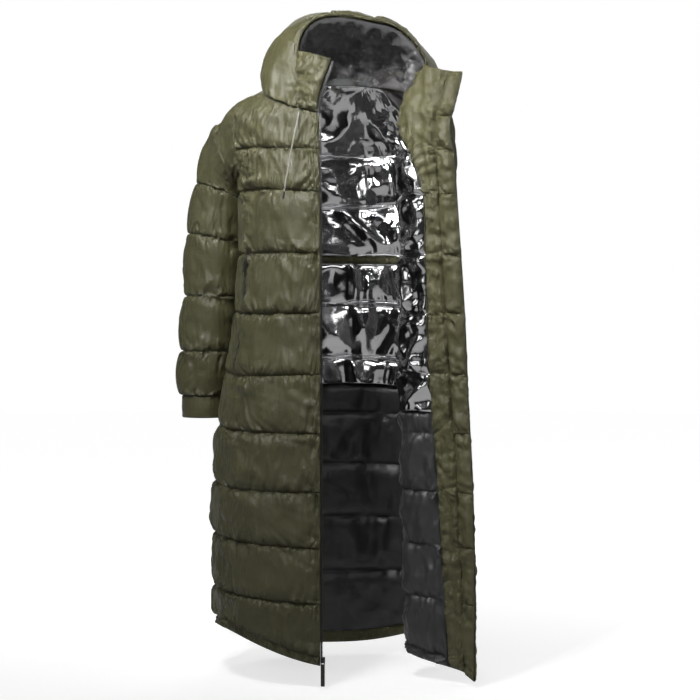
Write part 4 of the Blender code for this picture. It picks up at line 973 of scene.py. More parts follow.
def on_panel(name, girth, row, lift):
    """A point lifted off the finished cloth of a body panel."""
    rows, girths, *grids = PANELS[name]
    k = int(np.clip(np.searchsorted(rows, row) - 1, 0, len(rows) - 2))
    share = (row - rows[k]) / (rows[k + 1] - rows[k])
    found = []
    for grid in grids:
        low, high = (read_off(girth, girths[n], grid[n]) for n in (k, k + 1))
        found.append(low + (high - low) * share)
    return found[0] + unit(found[1]) * lift


def sew_front_edge(outer, normals, rows, girths, run):
    """Two rows along the zip and one on each side of the pocket's seam."""
    for distance in ZIP_STITCHES:
        beside = [read_off(distance, run[n], outer[n]) for n in range(len(rows))]
        sew("body", np.array(beside), normals[:, 2])
    inside = np.flatnonzero((rows > POCKET_SEAM[0, 0]) & (rows < POCKET_SEAM[-1, 0]))
    path = np.interp(rows[inside], *POCKET_SEAM.T)
    for shift in POCKET_STITCHES:
        spots, ways = (np.array([read_off(g + shift, girths[n], grid[n]) for n, g in zip(inside, path)])
                       for grid in (outer, normals))
        sew("body", spots, unit(ways))


def build_shell():
    """The three quilted panels of the body, and the turned-in cloth that closes the side seams."""
    cloth = dict(full=(1.06, 1.0), push=0.00015, off=SHELL, rough=0.0012, edge_full=0.07, cap=(1.15, 0.004),
                 dig=SINK, pucker=(2.8, 3.4, 2.2), lump=0.0026, reach=1.25, shape=0.42,
                 drag=(0.024, 0.0033, 0.30))
    for name, span, columns, per_row, seed, options in (
            ("front_right", front_span, 120, 30, 11, dict(line=POCKET_SEAM, flat=0.50, strip=0.009)),
            ("back", back_span, 172, 26, 23, dict(flat=0.62)),
            ("front_left", left_span, 120, 26, 37, dict(flat=0.55))):
        outer, inner, normals, gathered, (rows, girths, run) = quilt(
            span, 0, NECK_ROW, columns, per_row, seed, **cloth, **options)
        item = add_wall(name + "_quilted", outer, inner, "olive_nylon", name, inside="black_lining",
                        gathered=gathered)
        PANELS[name] = rows, girths, outer, normals
        sew_lines("body", outer, normals, nearest_lines(rows, range(1, NECK_ROW)))
        if name == "front_right":
            sew_front_edge(outer, normals, rows, girths, run)
        rise = np.linalg.norm(inner - inner[:1], axis=-1)[:, columns // 2]
        sew_lines("body", outer, normals, nearest_lines(rise, HEM_STITCHES))
    rows = np.linspace(0.012, ARMPIT_ROW - 0.03, 240)
    for name, girth in (("right", 1), ("left", 3)):
        strip_wall("side_seam_" + name, SIDE_SEAM_LOW, SIDE_SEAM_HIGH,
                   girth + np.array((-SIDE_SEAM_HALF, 0, SIDE_SEAM_HALF)), rows, "olive_nylon")


# ---------------------------------------------------------------- linings and facing
def build_linings():
    broad = ((0.250, 0.0170), (0.110, 0.0055), (0.045, 0.0010))
    crushed = ((0.150, 0.0110), (0.070, 0.0040), (0.028, 0.0007))
    film_cloth = dict(full=(1.02, 1.02), push=0.0001, side=-1, off=GAP + LINING, rough=0.0006, edge_full=0.02,
                      cap=(1.0, 0.002), dig=0.001, pucker=(0.6, 0.6, 0.6), lump=0.0, folds=broad, reach=1.7,
                      fine=0.0, shape=0.95, grain=(1.2, 1.2, 0.6))
    soft = dict(film_cloth, folds=((0.110, 0.0100), (0.045, 0.0048)), pucker=(3.0, 2.4, 2.4), reach=1.3,
                fine=1.0)
    flat = dict(film_cloth, rough=0.0003, cap=(1.0, 0.0016), loft=0.0006, pucker=(0.5, 0.5, 0.5),
                folds=((0.030, 0.0006),), reach=1.0)
    faced = dict(film_cloth, loft=0.0045, cap=(1.0, 0.004), pucker=(3.0, 3.4, 3.4), reach=1.5,
                 folds=((0.075, 0.0058), (0.030, 0.0030)), sewn=False, fine=1.0)
    work = (
        ("lining_back_top", "silver_film", back_span, 8, NECK_ROW, 168, 34,
         dict(film_cloth, loft=0.009, grain=(0.7, 0.7, 1.3))),
        ("waist_channel", "olive_facing", back_span, 7.87, 8, 150, 60, dict(flat, loft=0.002)),
        ("lining_back_middle", "silver_film", back_span, 5.5, 7.87, 168, 34,
         dict(film_cloth, loft=0.009)),
        ("lining_back_low", "black_lining", back_span, 1, 5.5, 120, 20, dict(soft, loft=0.009)),
        ("hem_facing_back", "olive_facing", back_span, 0, 1, 120, 6, flat),
        ("lining_left_top", "silver_film", left_lining_span, 5.35, NECK_ROW, 90, 34,
         dict(film_cloth, loft=0.007, folds=crushed, grain=(1, 1, 1))),
        ("lining_left_low", "black_lining", left_lining_span, 0, 5.35, 80, 20, dict(soft, loft=0.005)),
        ("facing_left", "olive_facing", facing_span, 0, COLLAR_ROW, 34, 32, faced),
    )
    for n, (name, slot, span, first, last, columns, per_row, options) in enumerate(work):
        seen, base, normals, gathered, (rows, _, _) = quilt(
            span, first, last, columns, per_row, 101 + 7 * n, **options)
        hidden = base + normals * GAP
        item = add_wall(name + "_cloth", seen, hidden, slot, name, coarse=6, gathered=gathered)
        cut_from(hidden, ["front_left" if "left" in name else "back"])
        if name == "facing_left":
            sew_lines("facing", seen, normals, (1, -2, 4), axis=1)
            continue
        sew_lines("lining", seen, normals, nearest_lines(rows, range(int(first) + 1, math.ceil(last))))
        if slot == "olive_facing":
            sew_lines("facing", seen, normals, (2, -3))


def strip_wall(name, low, high, girths, rows, slot, *replaced):
    """Plain narrow wall along the body between two heights off its surface."""
    base, normals = on_body(*np.meshgrid(girths, rows))
    return add_wall(name, base + normals * high, base + normals * low, slot, *replaced, coarse=1)


def build_front_edges():
    """Storm flap, with cloth of its own on both sides, and the left zip tape with its teeth."""
    flap = dict(full=(1.02, 1.03), push=0.0001, off=0.0022, rough=0.0006, edge_full=0.04, loft=0.0026,
                cap=(1.2, 0.002), dig=0.0004, sewn=False, pucker=(1.8, 2.0, 2.0), lump=0.0026, reach=1.1,
                folds=((0.060, 0.0018), (0.030, 0.0010)))
    seen = dict(flap, side=-1, off=GAP + LINING, sewn=True, loft=0.0042, cap=(1.2, 0.004),
                pucker=(3.0, 3.2, 3.2), folds=((0.060, 0.0052), (0.026, 0.0030)))
    outer, base, normals, gathered, _ = quilt(flap_span, 0, COLLAR_ROW, 22, 32, 301, **flap)
    inner, _, behind, _, _ = quilt(flap_span, 0, COLLAR_ROW, 22, 32, 311, **seen)
    item = add_wall("storm_flap_cloth", outer, inner, "olive_facing", "storm_flap", coarse=1,
                    gathered=gathered)
    cut_from(base, ["front_left"])
    for k in (1, 3, -4, -2):
        sew("facing", outer[:, k], normals[:, k])
        sew("facing", inner[:, k], behind[:, k])
    rows = np.linspace(0.36, 11.89, 190)
    strip_wall("zip_tape_left_cloth", 0.0046, 0.0058, (5.04, 5.12, 5.21, 5.30), rows, "dark_zip",
               "zip_tape_left")
    edge, out = on_body(5.05 + 0 * rows, rows)
    teeth("left", edge + out * 0.0056, body_point(5.15 + 0 * rows, rows) - edge)


# ---------------------------------------------------------------- sleeves
SIGN = {"right": -1, "left": 1}
ARMPIT_FACING = {"right": -35.0, "left": -110.0}
NECK_STEPS, ARMPIT_GAP = 4, 0.02
# along, off, out, down: how the cloth leaves the armhole at the armpit, in front and behind
LEAVES = {
    "right": np.array(((0.1, 1.0, 0.0, 0.2), (0.8, 0.20, 0.2, 0.2), (0.1, 0.7, 0.8, 0.1))),
    "left": np.array(((0.1, 1.0, 0.0, -0.3), (0.8, 0.20, 0.2, 0.2), (0.1, 1.0, 0.6, 0.0))),
}
NECK_LEAVES = np.array(((1.0, 0.03, 0.1, 0.0), (0.3, 0.12, 0.8, 0.0)))
LEAVE_REACH, NECK_PRESS = 0.85, 0.85
SLEEVE_COLUMNS, CHANNEL_ROWS = 132, 26
SLEEVE_TURNS = np.arange(SLEEVE_COLUMNS) / SLEEVE_COLUMNS


def ring_point(side, ring, turn):
    """Point of a sleeve's ring: turn 0 faces the armpit, and turns rise round by the front."""
    angle = np.radians(ARMPIT_FACING[side] + SIGN[side] * 360 * turn)
    height, x, y, half_width, half_depth, lean = np.moveaxis(np.asarray(ring, float), -1, 0)
    outward = np.cos(angle) * SIGN[side]
    return stack(x + half_width * np.cos(angle), y + half_depth * np.sin(angle),
                 height + lean / 2 * outward)


def armhole_at(side, turn):
    """Girth and row on an armhole at a turn, up its front, along the neckline and down its back."""
    way, seam = SIGN[side], 2 + SIGN[side]
    front_name, back_name = ("front", "back") if side == "right" else ("front_left", "back_left")
    inner_rows = list(ARMHOLES[1:-1, 0])
    front_end = len(inner_rows) + 1
    back_end = front_end + NECK_STEPS
    count = front_end + back_end
    rows = [ARMPIT_ROW + ARMPIT_GAP, *inner_rows, *[NECK_ROW - ROW_GAP] * (NECK_STEPS + 1),
            *inner_rows[::-1], ARMPIT_ROW + ARMPIT_GAP]
    k = np.asarray(turn) % 1.0 * count
    row = np.interp(k, np.arange(count + 1), rows)
    gap = SLEEVE_GAP * (row > rows[0])
    front = seam + way * raglan(front_name, row) - way * gap
    back = seam - way * raglan(back_name, row) + way * gap
    a = seam + way * ARMHOLES[-1, RAGLANS[front_name]] - way * SLEEVE_GAP
    b = seam - way * ARMHOLES[-1, RAGLANS[back_name]] + way * SLEEVE_GAP
    across = a + (b - a) * (k - front_end) / NECK_STEPS
    return np.where(k <= front_end, front, np.where(k < back_end, across, back)), row, count


def shoulder(side, turns, steps):
    """Cloth from the armhole down to the first ring: rows by step, columns by turn."""
    girth, row, count = armhole_at(side, turns)
    start, normal = on_body(girth, row)
    end = ring_point(side, RINGS[side][0], turns)
    after, before = (body_point(*armhole_at(side, turns + d / count)[:2]) for d in (1, -1))
    along = unit(np.cross(normal, after - before)) * -SIGN[side]
    armpit, front, back = LEAVES[side]
    turn = (turns % 1.0)[:, None]
    mix = np.where(turn < 0.5, front, back)
    mix = mix + (armpit - mix) * np.maximum(0, 1 - np.minimum(turn, 1 - turn) / 0.20)
    behind = np.clip((turn - 0.44) / 0.16, 0, 1)
    neck = NECK_LEAVES[0] * (1 - behind) + NECK_LEAVES[1] * behind
    mix = mix + (neck - mix) * np.maximum(0, 1 - np.abs(turn - 0.5) / 0.20)
    leave = along * mix[:, :1] + normal * mix[:, 1:2]
    leave[:, 0] += SIGN[side] * mix[:, 2]
    leave[:, 2] -= mix[:, 3]
    chord = np.linalg.norm(end - start, axis=-1, keepdims=True)
    leave = unit(leave) * chord * LEAVE_REACH
    enter = np.concatenate([0 * chord, 0 * chord, -chord * LEAVE_REACH], axis=-1)
    return hermite(start, end, leave, enter, steps[:, None, None]), normal


def sleeve_surface(side):
    """Plain wall of a sleeve with its channels: points, normals, channel number, share down it."""
    shares = paced(CHANNEL_ROWS, 0.6)
    top, seam_normal = shoulder(side, SLEEVE_TURNS, np.concatenate([shares[:-1] / 2, (1 + shares[:-1]) / 2]))
    grid, channel, across = [top], [0] * CHANNEL_ROWS + [1] * CHANNEL_ROWS, [*shares[:-1]] * 2
    rings = RINGS[side]
    for k, (upper, lower) in enumerate(zip(rings, rings[1:])):
        for share in shares if k == len(rings) - 2 else shares[:-1]:
            grid.append(ring_point(side, upper + (lower - upper) * share, SLEEVE_TURNS)[None])
            channel.append(2 + k)
            across.append(share)
    grid = np.concatenate(grid)
    grid[-1, :, 2] += 3 * GAP
    normals = unit(np.cross(differences(grid, 1, True), differences(grid, 0))) * -SIGN[side]
    normals[0] = seam_normal
    for k in range(1, 6):
        normals[k] = unit(normals[k] * (k / 6) + seam_normal * (1 - k / 6))
    return grid, normals, np.array(channel), np.array(across)


def looped(ring):
    return np.concatenate([ring, ring[:1]])


def build_sleeve(side, seed):
    """A sleeve's quilted wall; its highest seam is sewn only in front of the shoulder."""
    grid, normals, channel, across = sleeve_surface(side)
    turns = SLEEVE_TURNS
    starts = np.array([np.argmax(channel == c) for c in range(channel.max() + 1)])
    stops = np.array([*starts[1:], len(grid) - 1])
    tall = np.linalg.norm(grid[starts[channel]] - grid[stops[channel]], axis=-1)
    c, share, shoulder_part = channel[:, None], across[:, None], channel[:, None] < 2
    full = np.minimum(LOFT * 0.85, LOFT_PER_HEIGHT * tall)
    full = full * (0.45 + 0.55 * (0.5 - 0.5 * np.cos(2 * np.pi * turns)))
    for away, reach in ((np.abs(turns - 0.5), 0.3), (np.minimum(turns, 1 - turns), 0.15)):
        full = full * np.where(c == 0, 1 - NECK_PRESS * np.maximum(0, 1 - away / reach), 1)
    full = full * np.interp(c, (0, 1, 3, 5, 7), (0.55, 0.55, 0.62, 0.80, 0.90))
    on_seam = (across < 1e-6) | (across > 1 - 1e-6)
    fixed = np.repeat(on_seam[:, None], len(turns), 1)
    unsewn = np.clip((np.abs(turns - 0.21) - 0.15) / 0.06, 0, 1)[None] * shoulder_part
    middle = (channel == 1) & (across < 1e-6)
    fixed[middle] = unsewn[middle] < 0.5
    whole = full * np.maximum(0, np.sin(np.pi * (c + share) / 2 * shoulder_part))
    rise = full * np.maximum(0, np.sin(np.pi * share)) ** LOFT_SHAPE * (1 - unsewn) + whole * unsewn
    seam_line = grid + normals * SHELL
    shaped = seam_line + normals * rise[..., None]
    start = ruffled(shaped, grid, normals, fixed, seed, 0.0015, (0.05, 0.02))
    rest = lengths(seam_line, closed=True)[0] * 1.07, lengths(shaped)[1] * 1.01
    outer = settle(start, grid, normals, fixed, rest, 0.00015, HOOD_STEPS, SHELL - SINK,
                   SHELL + full * 1.1 + 0.002, bend=BODY_BEND, closed=True)
    circle = stack(np.cos(2 * np.pi * turns), np.sin(2 * np.pi * turns)) * 0.055
    run = np.repeat(circle[None], len(grid), 0)
    loose_top, loose_low = (0.05 * (1 - np.where(c == k, 1 - unsewn, 1.0)) for k in (1, 0))
    seams = [(run, share * tall + loose_top, 9.0 * c, 4.0, 1.5),
             (run, (1 - share) * tall + loose_low, 9.0 * c + 4.5, 4.0, 1.5)]
    outer, gathered = crumple(outer, grid, normals, fixed, SHELL - SINK, seams, seed, 0.0045,
                              top=SHELL + np.maximum(rise, full * 0.25) * 1.15 + 0.0030,
                              drag=(0.028, 0.0048, 0.42))
    item = add_wall(f"sleeve_{side}_quilted", outer, grid, "olive_nylon", "sleeve_" + side,
                    inside="hood_lining", closed=True, gathered=gathered)
    for k in starts[2:]:
        sew("sleeves", looped(outer[k]), looped(normals[k]))
    build_cuff(side)


# share of the way down a cuff, and how far its cloth stands off the wrist's ring
CUFF_PROFILE = np.array(((0, 0.0036), (0.10, 0.0044), (0.16, 0.0040), (0.5, 0.0048), (0.84, 0.0040),
                         (0.90, 0.0046), (1.0, 0.0034)))


def build_cuff(side):
    """Flat stitched band at the end of a sleeve."""
    turns = SLEEVE_TURNS
    outer, inner = [], []
    gather = 0.0006 * np.sin(2 * np.pi * turns * 31 + 2 * np.sin(2 * np.pi * turns * 3))
    for share in np.linspace(0, 1, 15):
        ring = RINGS[side][-1].copy()
        ring[0] -= share * CUFF_HEIGHT
        inner.append(ring_point(side, ring, turns))
        wide = np.repeat(ring[None], len(turns), 0)
        wide[:, 3:5] += (np.interp(share, *CUFF_PROFILE.T) + gather * (1 - share))[:, None]
        outer.append(ring_point(side, wide, turns))
    outer, inner = np.array(outer), np.array(inner)
    item = add_wall(f"cuff_{side}_band", outer, inner, "olive_nylon", "cuff_" + side,
                    inside="black_lining", closed=True, coarse=2)
    cut_from(inner, ["sleeve_" + side], closed=True)
    for k in (1, 4, 7, 10, 13):
        sew("sleeves", looped(outer[k]), looped(unit(outer[k] - inner[k])))


# ---------------------------------------------------------------- hood
HOOD_WALL, HOOD_FOOT, HOOD_LEAN, HOOD_PUFF = 0.0045, 0.024, 0.011, 0.007
RIM_WIDTH, RIM_WALL = 0.016, 0.0022
FRONT_FOOT = {"right": np.array((0.006, 0.040, 0.098)), "left": np.array((0.065, 0.005, 0.056))}
COLLAR_TOP_UP, LEFT_SEAM_REACH, HOOD_SEAM_SHARE = 0.46, 0.25, 0.004
NAPE_SHARE, LINING_FOOT, HOOD_LINING_GAP = 0.965, 0.02, 0.0012
COLLAR_COLUMN = 0.26
HOOD_SHELL = ["hood_side_right", "hood_centre", "hood_side_left"]


def share_of(span, columns):
    low, high = span(np.array([float(NECK_ROW)]))
    return [float(low[0] + (high[0] - low[0]) * c) for c in columns]


def neckline_girths(side):
    """Girths of the hood's foot, from the collar's seam round to the gusset at the nape."""
    if side == "right":
        first = share_of(front_span, (COLLAR_COLUMN, 0.50, 0.74, 0.93, 1.0))
        last = share_of(back_span, (0.0, 0.05, 0.16, 0.28))
    else:
        first = share_of(left_hood_span, (1.0, 0.66, 0.32, 0.08, 0.0))
        last = share_of(back_span, (1.0, 0.95, 0.84, 0.72))
    step = (last[0] - first[-1]) / NECK_STEPS
    return np.array([*first, *(first[-1] + step * k for k in range(1, NECK_STEPS)), *last])


def shares_along(girths):
    run = run_of(body_point(girths, float(NECK_ROW)))
    return run / run[-1]


NECKLINE = {side: neckline_girths(side) for side in ("right", "left")}
HOOD_SHARES = (shares_along(NECKLINE["right"]) + shares_along(NECKLINE["left"])) / 2


def foot_girth(side, share):
    return np.interp(share, HOOD_SHARES, NECKLINE[side])


def crown(index, share):
    return column(CROWN, index, share)


def gusset_point(side, share):
    lean = 0 if side == "right" else HOOD_LEAN * (1 - share)
    return stack(-0.008 * (1 - share) + SIGN[side] * crown(1, share), crown(2, share),
                 crown(3, share) - lean)


def hood_side_free(side, up, share):
    up, share = pair(up, share)
    girth = foot_girth(side, np.clip(share, 0, 1))
    foot = body_point(girth, NECK_ROW + HOOD_FOOT)
    head = gusset_point(side, share)
    outward = unit(body_normal(girth, float(NECK_ROW) + 0 * girth) * (1, 1, 0))
    front = np.maximum(0, 1 - share / 0.25)[..., None]
    rise = outward * crown(4, share)[..., None] + stack(0 * share, 0 * share, crown(5, share))
    rise = rise * (1 - front) + FRONT_FOOT[side] * front
    hold = stack(SIGN[side] * crown(6, share), 0 * share, -0.006 + 0 * share)
    return bezier(foot, foot + rise, head + hold, head, up[..., None])


def left_seam_pull(up):
    """Brings the hood's left front edge onto the collar's seam, as high as the collar reaches."""
    low = np.minimum(up, COLLAR_TOP_UP)
    row = NECK_ROW + HOOD_FOOT + (1 - HOOD_FOOT - ROW_GAP) * low / COLLAR_TOP_UP
    pull = body_point(4.0 + 0 * row, row) - hood_side_free("left", low, 0.0)
    past = np.maximum(0, up - COLLAR_TOP_UP) / (1 - COLLAR_TOP_UP)
    return pull * ((1 - past) ** 2)[..., None]


def hood_side(side, up, share):
    up, share = pair(up, share)
    point = hood_side_free(side, up, share)
    if side == "left":
        weight = np.maximum(0, 1 - share / LEFT_SEAM_REACH) ** 2
        point = point + left_seam_pull(up) * weight[..., None]
    return point


def hood_centre(across, share):
    across, share = pair(across, share)
    right, left = gusset_point("right", share), gusset_point("left", share)
    hold = 0.3 * np.linalg.norm(left - right, axis=-1)
    lift = 0.004 * (1 - share)
    a, b = stack(hold, 0 * hold, lift), stack(-hold, 0 * hold, lift)
    return bezier(right, right + a, left + b, left, across[..., None])


def hood_surface(u, share):
    """The whole hood: u 0 to 1 right side, 1 to 2 gusset, 2 to 3 left side."""
    u, share = pair(u, share)
    right = hood_side("right", np.clip(u, 0, 1), share)
    middle = hood_centre(np.clip(u - 1, 0, 1), share)
    left = hood_side("left", np.clip(3 - u, 0, 1), share)
    g = u[..., None]
    return np.where(g <= 1, right, np.where(g <= 2, middle, left))


def hood_normal(u, share, step=0.012):
    u, share = pair(u, share)
    along = hood_surface(np.minimum(u + step, 3), share) - hood_surface(np.maximum(u - step, 0), share)
    back = hood_surface(u, np.minimum(share + step, 1)) - hood_surface(u, np.maximum(share - step, 0))
    normal = unit(np.cross(along, back))
    girth = np.where(u < 1.5, foot_girth("right", share), foot_girth("left", share))
    at_foot = body_normal(girth, float(NECK_ROW) + 0 * girth)
    weight = np.clip(1 - np.minimum(u, 3 - u) / 0.05, 0, 1)[..., None]
    return unit(normal * (1 - weight) + at_foot * weight)


def hood_wall(u):
    thick = np.minimum(1, np.minimum(u, 3 - u) / 0.18)
    return SHELL + (HOOD_WALL - SHELL) * thick


def hood_offset(u, share):
    swell = np.sin(np.pi * (u % 1.0)) * np.sin(np.pi * np.minimum(1, share / 0.95)) ** 0.5
    return hood_wall(u) + HOOD_PUFF * np.maximum(0, swell) * (u < 3)


def off_hood(u, share, offset):
    return hood_surface(u, share) + hood_normal(u, share) * offset[:, None]


def hood_piece(name, us, shares, counts, seed, slot, replaced, full=1.05, puff=HOOD_PUFF, rough=0.0015,
               bend=0.25, shape=0.6, pucker=3.2, lump=0.0030, folds=(), lining=False):
    """A padded panel of the hood, or its lining on the inner side, blown up between its edges."""
    us = us[0] + (us[1] - us[0]) * paced(counts[0], 0.5)
    ss = shares[0] + (shares[1] - shares[0]) * paced(counts[1], 0.4)
    u, s = np.meshgrid(us, ss, indexing="ij")
    base, normals = hood_surface(u, s), hood_normal(u, s) * (-1 if lining else 1)
    a, b = ((line - line[0]) / (line[-1] - line[0]) for line in (us, ss))
    swell = np.maximum(0, np.sin(np.pi * a))[:, None] * np.maximum(0, np.sin(np.pi * b))[None] ** 0.5
    swell = swell ** shape
    low = HOOD_LINING_GAP + LINING + 0 * u if lining else hood_wall(u)
    seam_line = base + normals * low[..., None]
    shaped = seam_line + normals * (puff * swell)[..., None]
    fixed = edges_of(u.shape)
    rest_u, rest_v = (rest * full for rest in lengths(shaped))
    seam_u, seam_v = lengths(seam_line)
    from_foot, from_head = from_start(seam_v, 0), from_start(seam_v[::-1], 0)[::-1]
    from_rim = from_start(seam_u, 1)
    from_nape = from_rim[:, -1:] - from_rim
    gather_u, gather_v = by_ends(from_rim, 0.03, 1)[:, 1:], by_ends(from_foot, 0.03, 0)[1:]
    rest_u[1:] *= 1 + 0.07 * (gather_v[:, :-1] + gather_v[:, 1:]) / 2
    rest_v[:, 1:] *= 1 + 0.07 * (gather_u[:-1] + gather_u[1:]) / 2
    outer = settle(ruffled(shaped, base, normals, fixed, seed, rough), base, normals, fixed,
                   (rest_u, rest_v), 0.0002, HOOD_STEPS, low - SINK,
                   low + puff * 1.25 * np.maximum(swell, 0.15) + 0.002, bend=bend)
    seams = [(from_rim, from_foot, 1.0, pucker, 1.4), (from_rim, from_head, 5.0, pucker * 0.6, 1.1),
             (from_foot, from_rim, 9.0, pucker, 1.3), (from_foot, from_nape, 13.0, pucker, 1.2)]
    outer, gathered = crumple(outer, base, normals, fixed, low - SINK, seams, seed, lump, folds,
                              stand=0.008 if lining else 0.0)
    inner = base + normals * HOOD_LINING_GAP if lining else base
    item = add_wall(name, outer, inner, slot, replaced, inside="hood_lining", gathered=gathered)
    if lining:
        cut_from(inner, HOOD_SHELL)
    else:
        sew_lines("hood", outer, normals, (1, -2))


def build_hood():
    e = HOOD_SEAM_SHARE
    for side, us, seed in (("right", (0, 1 - e), 401), ("left", (2 + e, 3), 411)):
        hood_piece(f"hood_side_{side}_padded", us, (e, NAPE_SHARE), (64, 84), seed, "olive_nylon",
                   "hood_side_" + side)
    hood_piece("hood_centre_padded", (1 + e, 2 - e), (e, 1.0), (34, 110), 421, "olive_nylon",
               "hood_centre", shape=1.2, puff=0.006)
    hood_piece("hood_lining_cloth", (LINING_FOOT, 3 - LINING_FOOT), (2 * e, NAPE_SHARE), (180, 90), 431,
               "hood_lining", "hood_lining", full=1.02, puff=0.004, rough=0.001, bend=0.15, pucker=3.0,
               lump=0.0, folds=((0.130, 0.0230), (0.060, 0.0110), (0.024, 0.0030)), lining=True)


# share of the way across the rim's casing, and how far its cloth swells there
RIM_PROFILE = ((0.0, 0.0004), (0.12, 0.0016), (0.2, 0.0012), (0.35, 0.0024), (0.55, 0.0030),
               (0.75, 0.0022), (0.85, 0.0012), (0.93, 0.0015), (1.0, 0.0004))


def build_rim():
    """Casing of the drawcord round the hood's opening."""
    us = np.linspace(COLLAR_TOP_UP, 3 - COLLAR_TOP_UP, 200)
    shares, behind = HOOD_SEAM_SHARE + 0 * us, HOOD_SHARES[1] + 0 * us
    front, back = (off_hood(us, s, hood_offset(us, s)) for s in (shares, behind))
    normals = hood_normal(us, shares)
    reach = back - front
    width = RIM_WIDTH / np.linalg.norm(reach, axis=1, keepdims=True)
    gather = 0.0005 * waves(front, 0.012, 433)
    outer, inner = [], []
    for share, swell in RIM_PROFILE:
        line = front + reach * width * share
        off = 4 * GAP + RIM_WALL + swell - 0.0010 + gather * swell / 0.003
        outer.append(line + normals * off[:, None])
        inner.append(line + normals * 4 * GAP)
    outer, inner = np.array(outer), np.array(inner)
    item = add_wall("hood_rim_casing", outer, inner, "olive_nylon", "hood_rim", coarse=2)
    cut_from(inner, HOOD_SHELL)
    for k in (2, 7):
        sew("hood", outer[k], normals)


# ---------------------------------------------------------------- collar
def collar_zip_edge(rise):
    low = body_point(0.0, float(NECK_ROW))
    top = np.array((-0.074, -0.172, 0.049))
    return bezier(low, low + (-0.003, 0.0, 0.045), top - (0.012, -0.001, 0.045), top,
                  np.asarray(rise)[..., None])


def collar_foot(share):
    return GIRTH_GAP + (share_of(front_span, (COLLAR_COLUMN,))[0] - GIRTH_GAP) * share


def collar_right_point(share, rise):
    share, rise = pair(share, rise)
    foot = body_point(collar_foot(share), NECK_ROW + HOOD_FOOT)
    front = collar_zip_edge(rise)
    seam = hood_side("right", COLLAR_TOP_UP * rise, 0.0)
    base = body_point(0.0, float(NECK_ROW))
    at = share[..., None]
    lift = foot - (base + (hood_side("right", 0.0, 0.0) - base) * at)
    bulge = 0.010 * np.sin(np.pi * share) * np.sin(np.pi * rise / 2)
    return (front + (seam - front) * at + lift * (1 - rise[..., None])
            + np.array((-0.35, -0.94, 0)) * bulge[..., None])


def collar_normal(share, rise, step=0.02):
    across = collar_right_point(share + step, rise) - collar_right_point(share - step, rise)
    above = collar_right_point(share, np.minimum(rise + step, 1))
    below = collar_right_point(share, np.maximum(rise - step, 0))
    at_foot = body_normal(collar_foot(share), float(NECK_ROW) + 0 * share)
    weight = np.clip(1 - rise / 0.1, 0, 1)[..., None]
    return unit(unit(np.cross(above - below, across)) * (1 - weight) + at_foot * weight)


def collar_cloth(side, base, normals, seed):
    """One padded chin guard, blown up between its four edges."""
    rows, columns = base.shape[:2]
    up = np.sin(np.pi * np.linspace(0, 1, rows))[:, None] * np.ones(columns)
    swell = np.maximum(up ** 0.5 * edge_ease(np.linspace(0, 1, columns)), 0)
    shaped = base + normals * HOOD_WALL + normals * (0.0055 * swell)[..., None]
    fixed = edges_of(swell.shape)
    start = ruffled(shaped, base, normals, fixed, seed, 0.0012, (0.03, 0.012), 0.5)
    outer = settle(start, base, normals, fixed, [rest * 1.05 for rest in lengths(shaped)], 0.0002,
                   COLLAR_STEPS, HOOD_WALL - SINK, HOOD_WALL + 0.0075 * np.maximum(swell, 0.2))
    along, up = lengths(base)
    across, rise = from_start(along, 1), from_start(up, 0)
    seams = [(across, rise, 1.0, 3.0, 1.3), (across, rise[-1:] - rise, 5.0, 1.6, 1.0),
             (rise, across, 9.0, 1.6, 1.0), (rise, across[:, -1:] - across, 13.0, 3.0, 1.3)]
    outer, gathered = crumple(outer, base, normals, fixed, HOOD_WALL - SINK, seams, seed, 0.0020,
                              folds=((0.055, 0.0052), (0.024, 0.0026)), drag=(0.022, 0.0026, 0.35))
    item = add_wall(f"collar_{side}_padded", outer, base, "olive_nylon", "collar_" + side, coarse=3,
                    gathered=gathered)
    sew_lines("hood", outer, normals, (2, -3))
    sew_lines("hood", outer, normals, (1, -2), axis=1)


def build_collar():
    s, r = np.meshgrid(np.linspace(0, 1 - 2 * HOOD_SEAM_SHARE, 30), np.linspace(0, 1, 44))
    collar_cloth("right", collar_right_point(s, r), collar_normal(s, r), 501)
    rows = np.linspace(NECK_ROW + ROW_GAP, COLLAR_ROW - ROW_GAP, 36)
    girths, grid_rows, _ = span_grid(facing_span, rows, 44)
    collar_cloth("left", *on_body(girths, grid_rows), 511)


# ---------------------------------------------------------------- drawcord
CORDS = {
    "right": ((-0.1400, -0.1560, -0.0560), (-0.1440, -0.1700, -0.0700), (-0.1500, -0.1850, -0.0900),
              (-0.1570, -0.1960, -0.1150), (-0.1640, -0.2030, -0.1450), (-0.1700, -0.2080, -0.1750),
              (-0.1760, -0.2130, -0.2050), (-0.1810, -0.2160, -0.2350)),
    "left": ((0.1080, -0.1080, -0.0480), (0.1140, -0.1120, -0.0620), (0.1180, -0.1160, -0.0850),
             (0.1190, -0.1180, -0.1150), (0.1180, -0.1180, -0.1450), (0.1170, -0.1190, -0.1750),
             (0.1170, -0.1200, -0.2050), (0.1180, -0.1200, -0.2350)),
}
CORD_DIAMETER, TIP_DIAMETER, TIP_OVERLAP = 0.0032, 0.0050, 0.001
# distance down a tip, and its thickness there as a share of the whole
TIP_PROFILE = np.array(((0.0, 0.70), (0.0008, 0.95), (0.0020, 1.0), (0.0060, 0.94), (0.0110, 0.96),
                        (0.0140, 0.90), (0.0152, 0.55)))
# how far up the hood's edge a bight lies, and how far it rises there
BIGHT_PROFILE = np.array(((0.40, 0.0), (0.435, 0.003), (0.47, 0.003), (0.50, 0.0)))
BIGHT_SHARE = 0.035


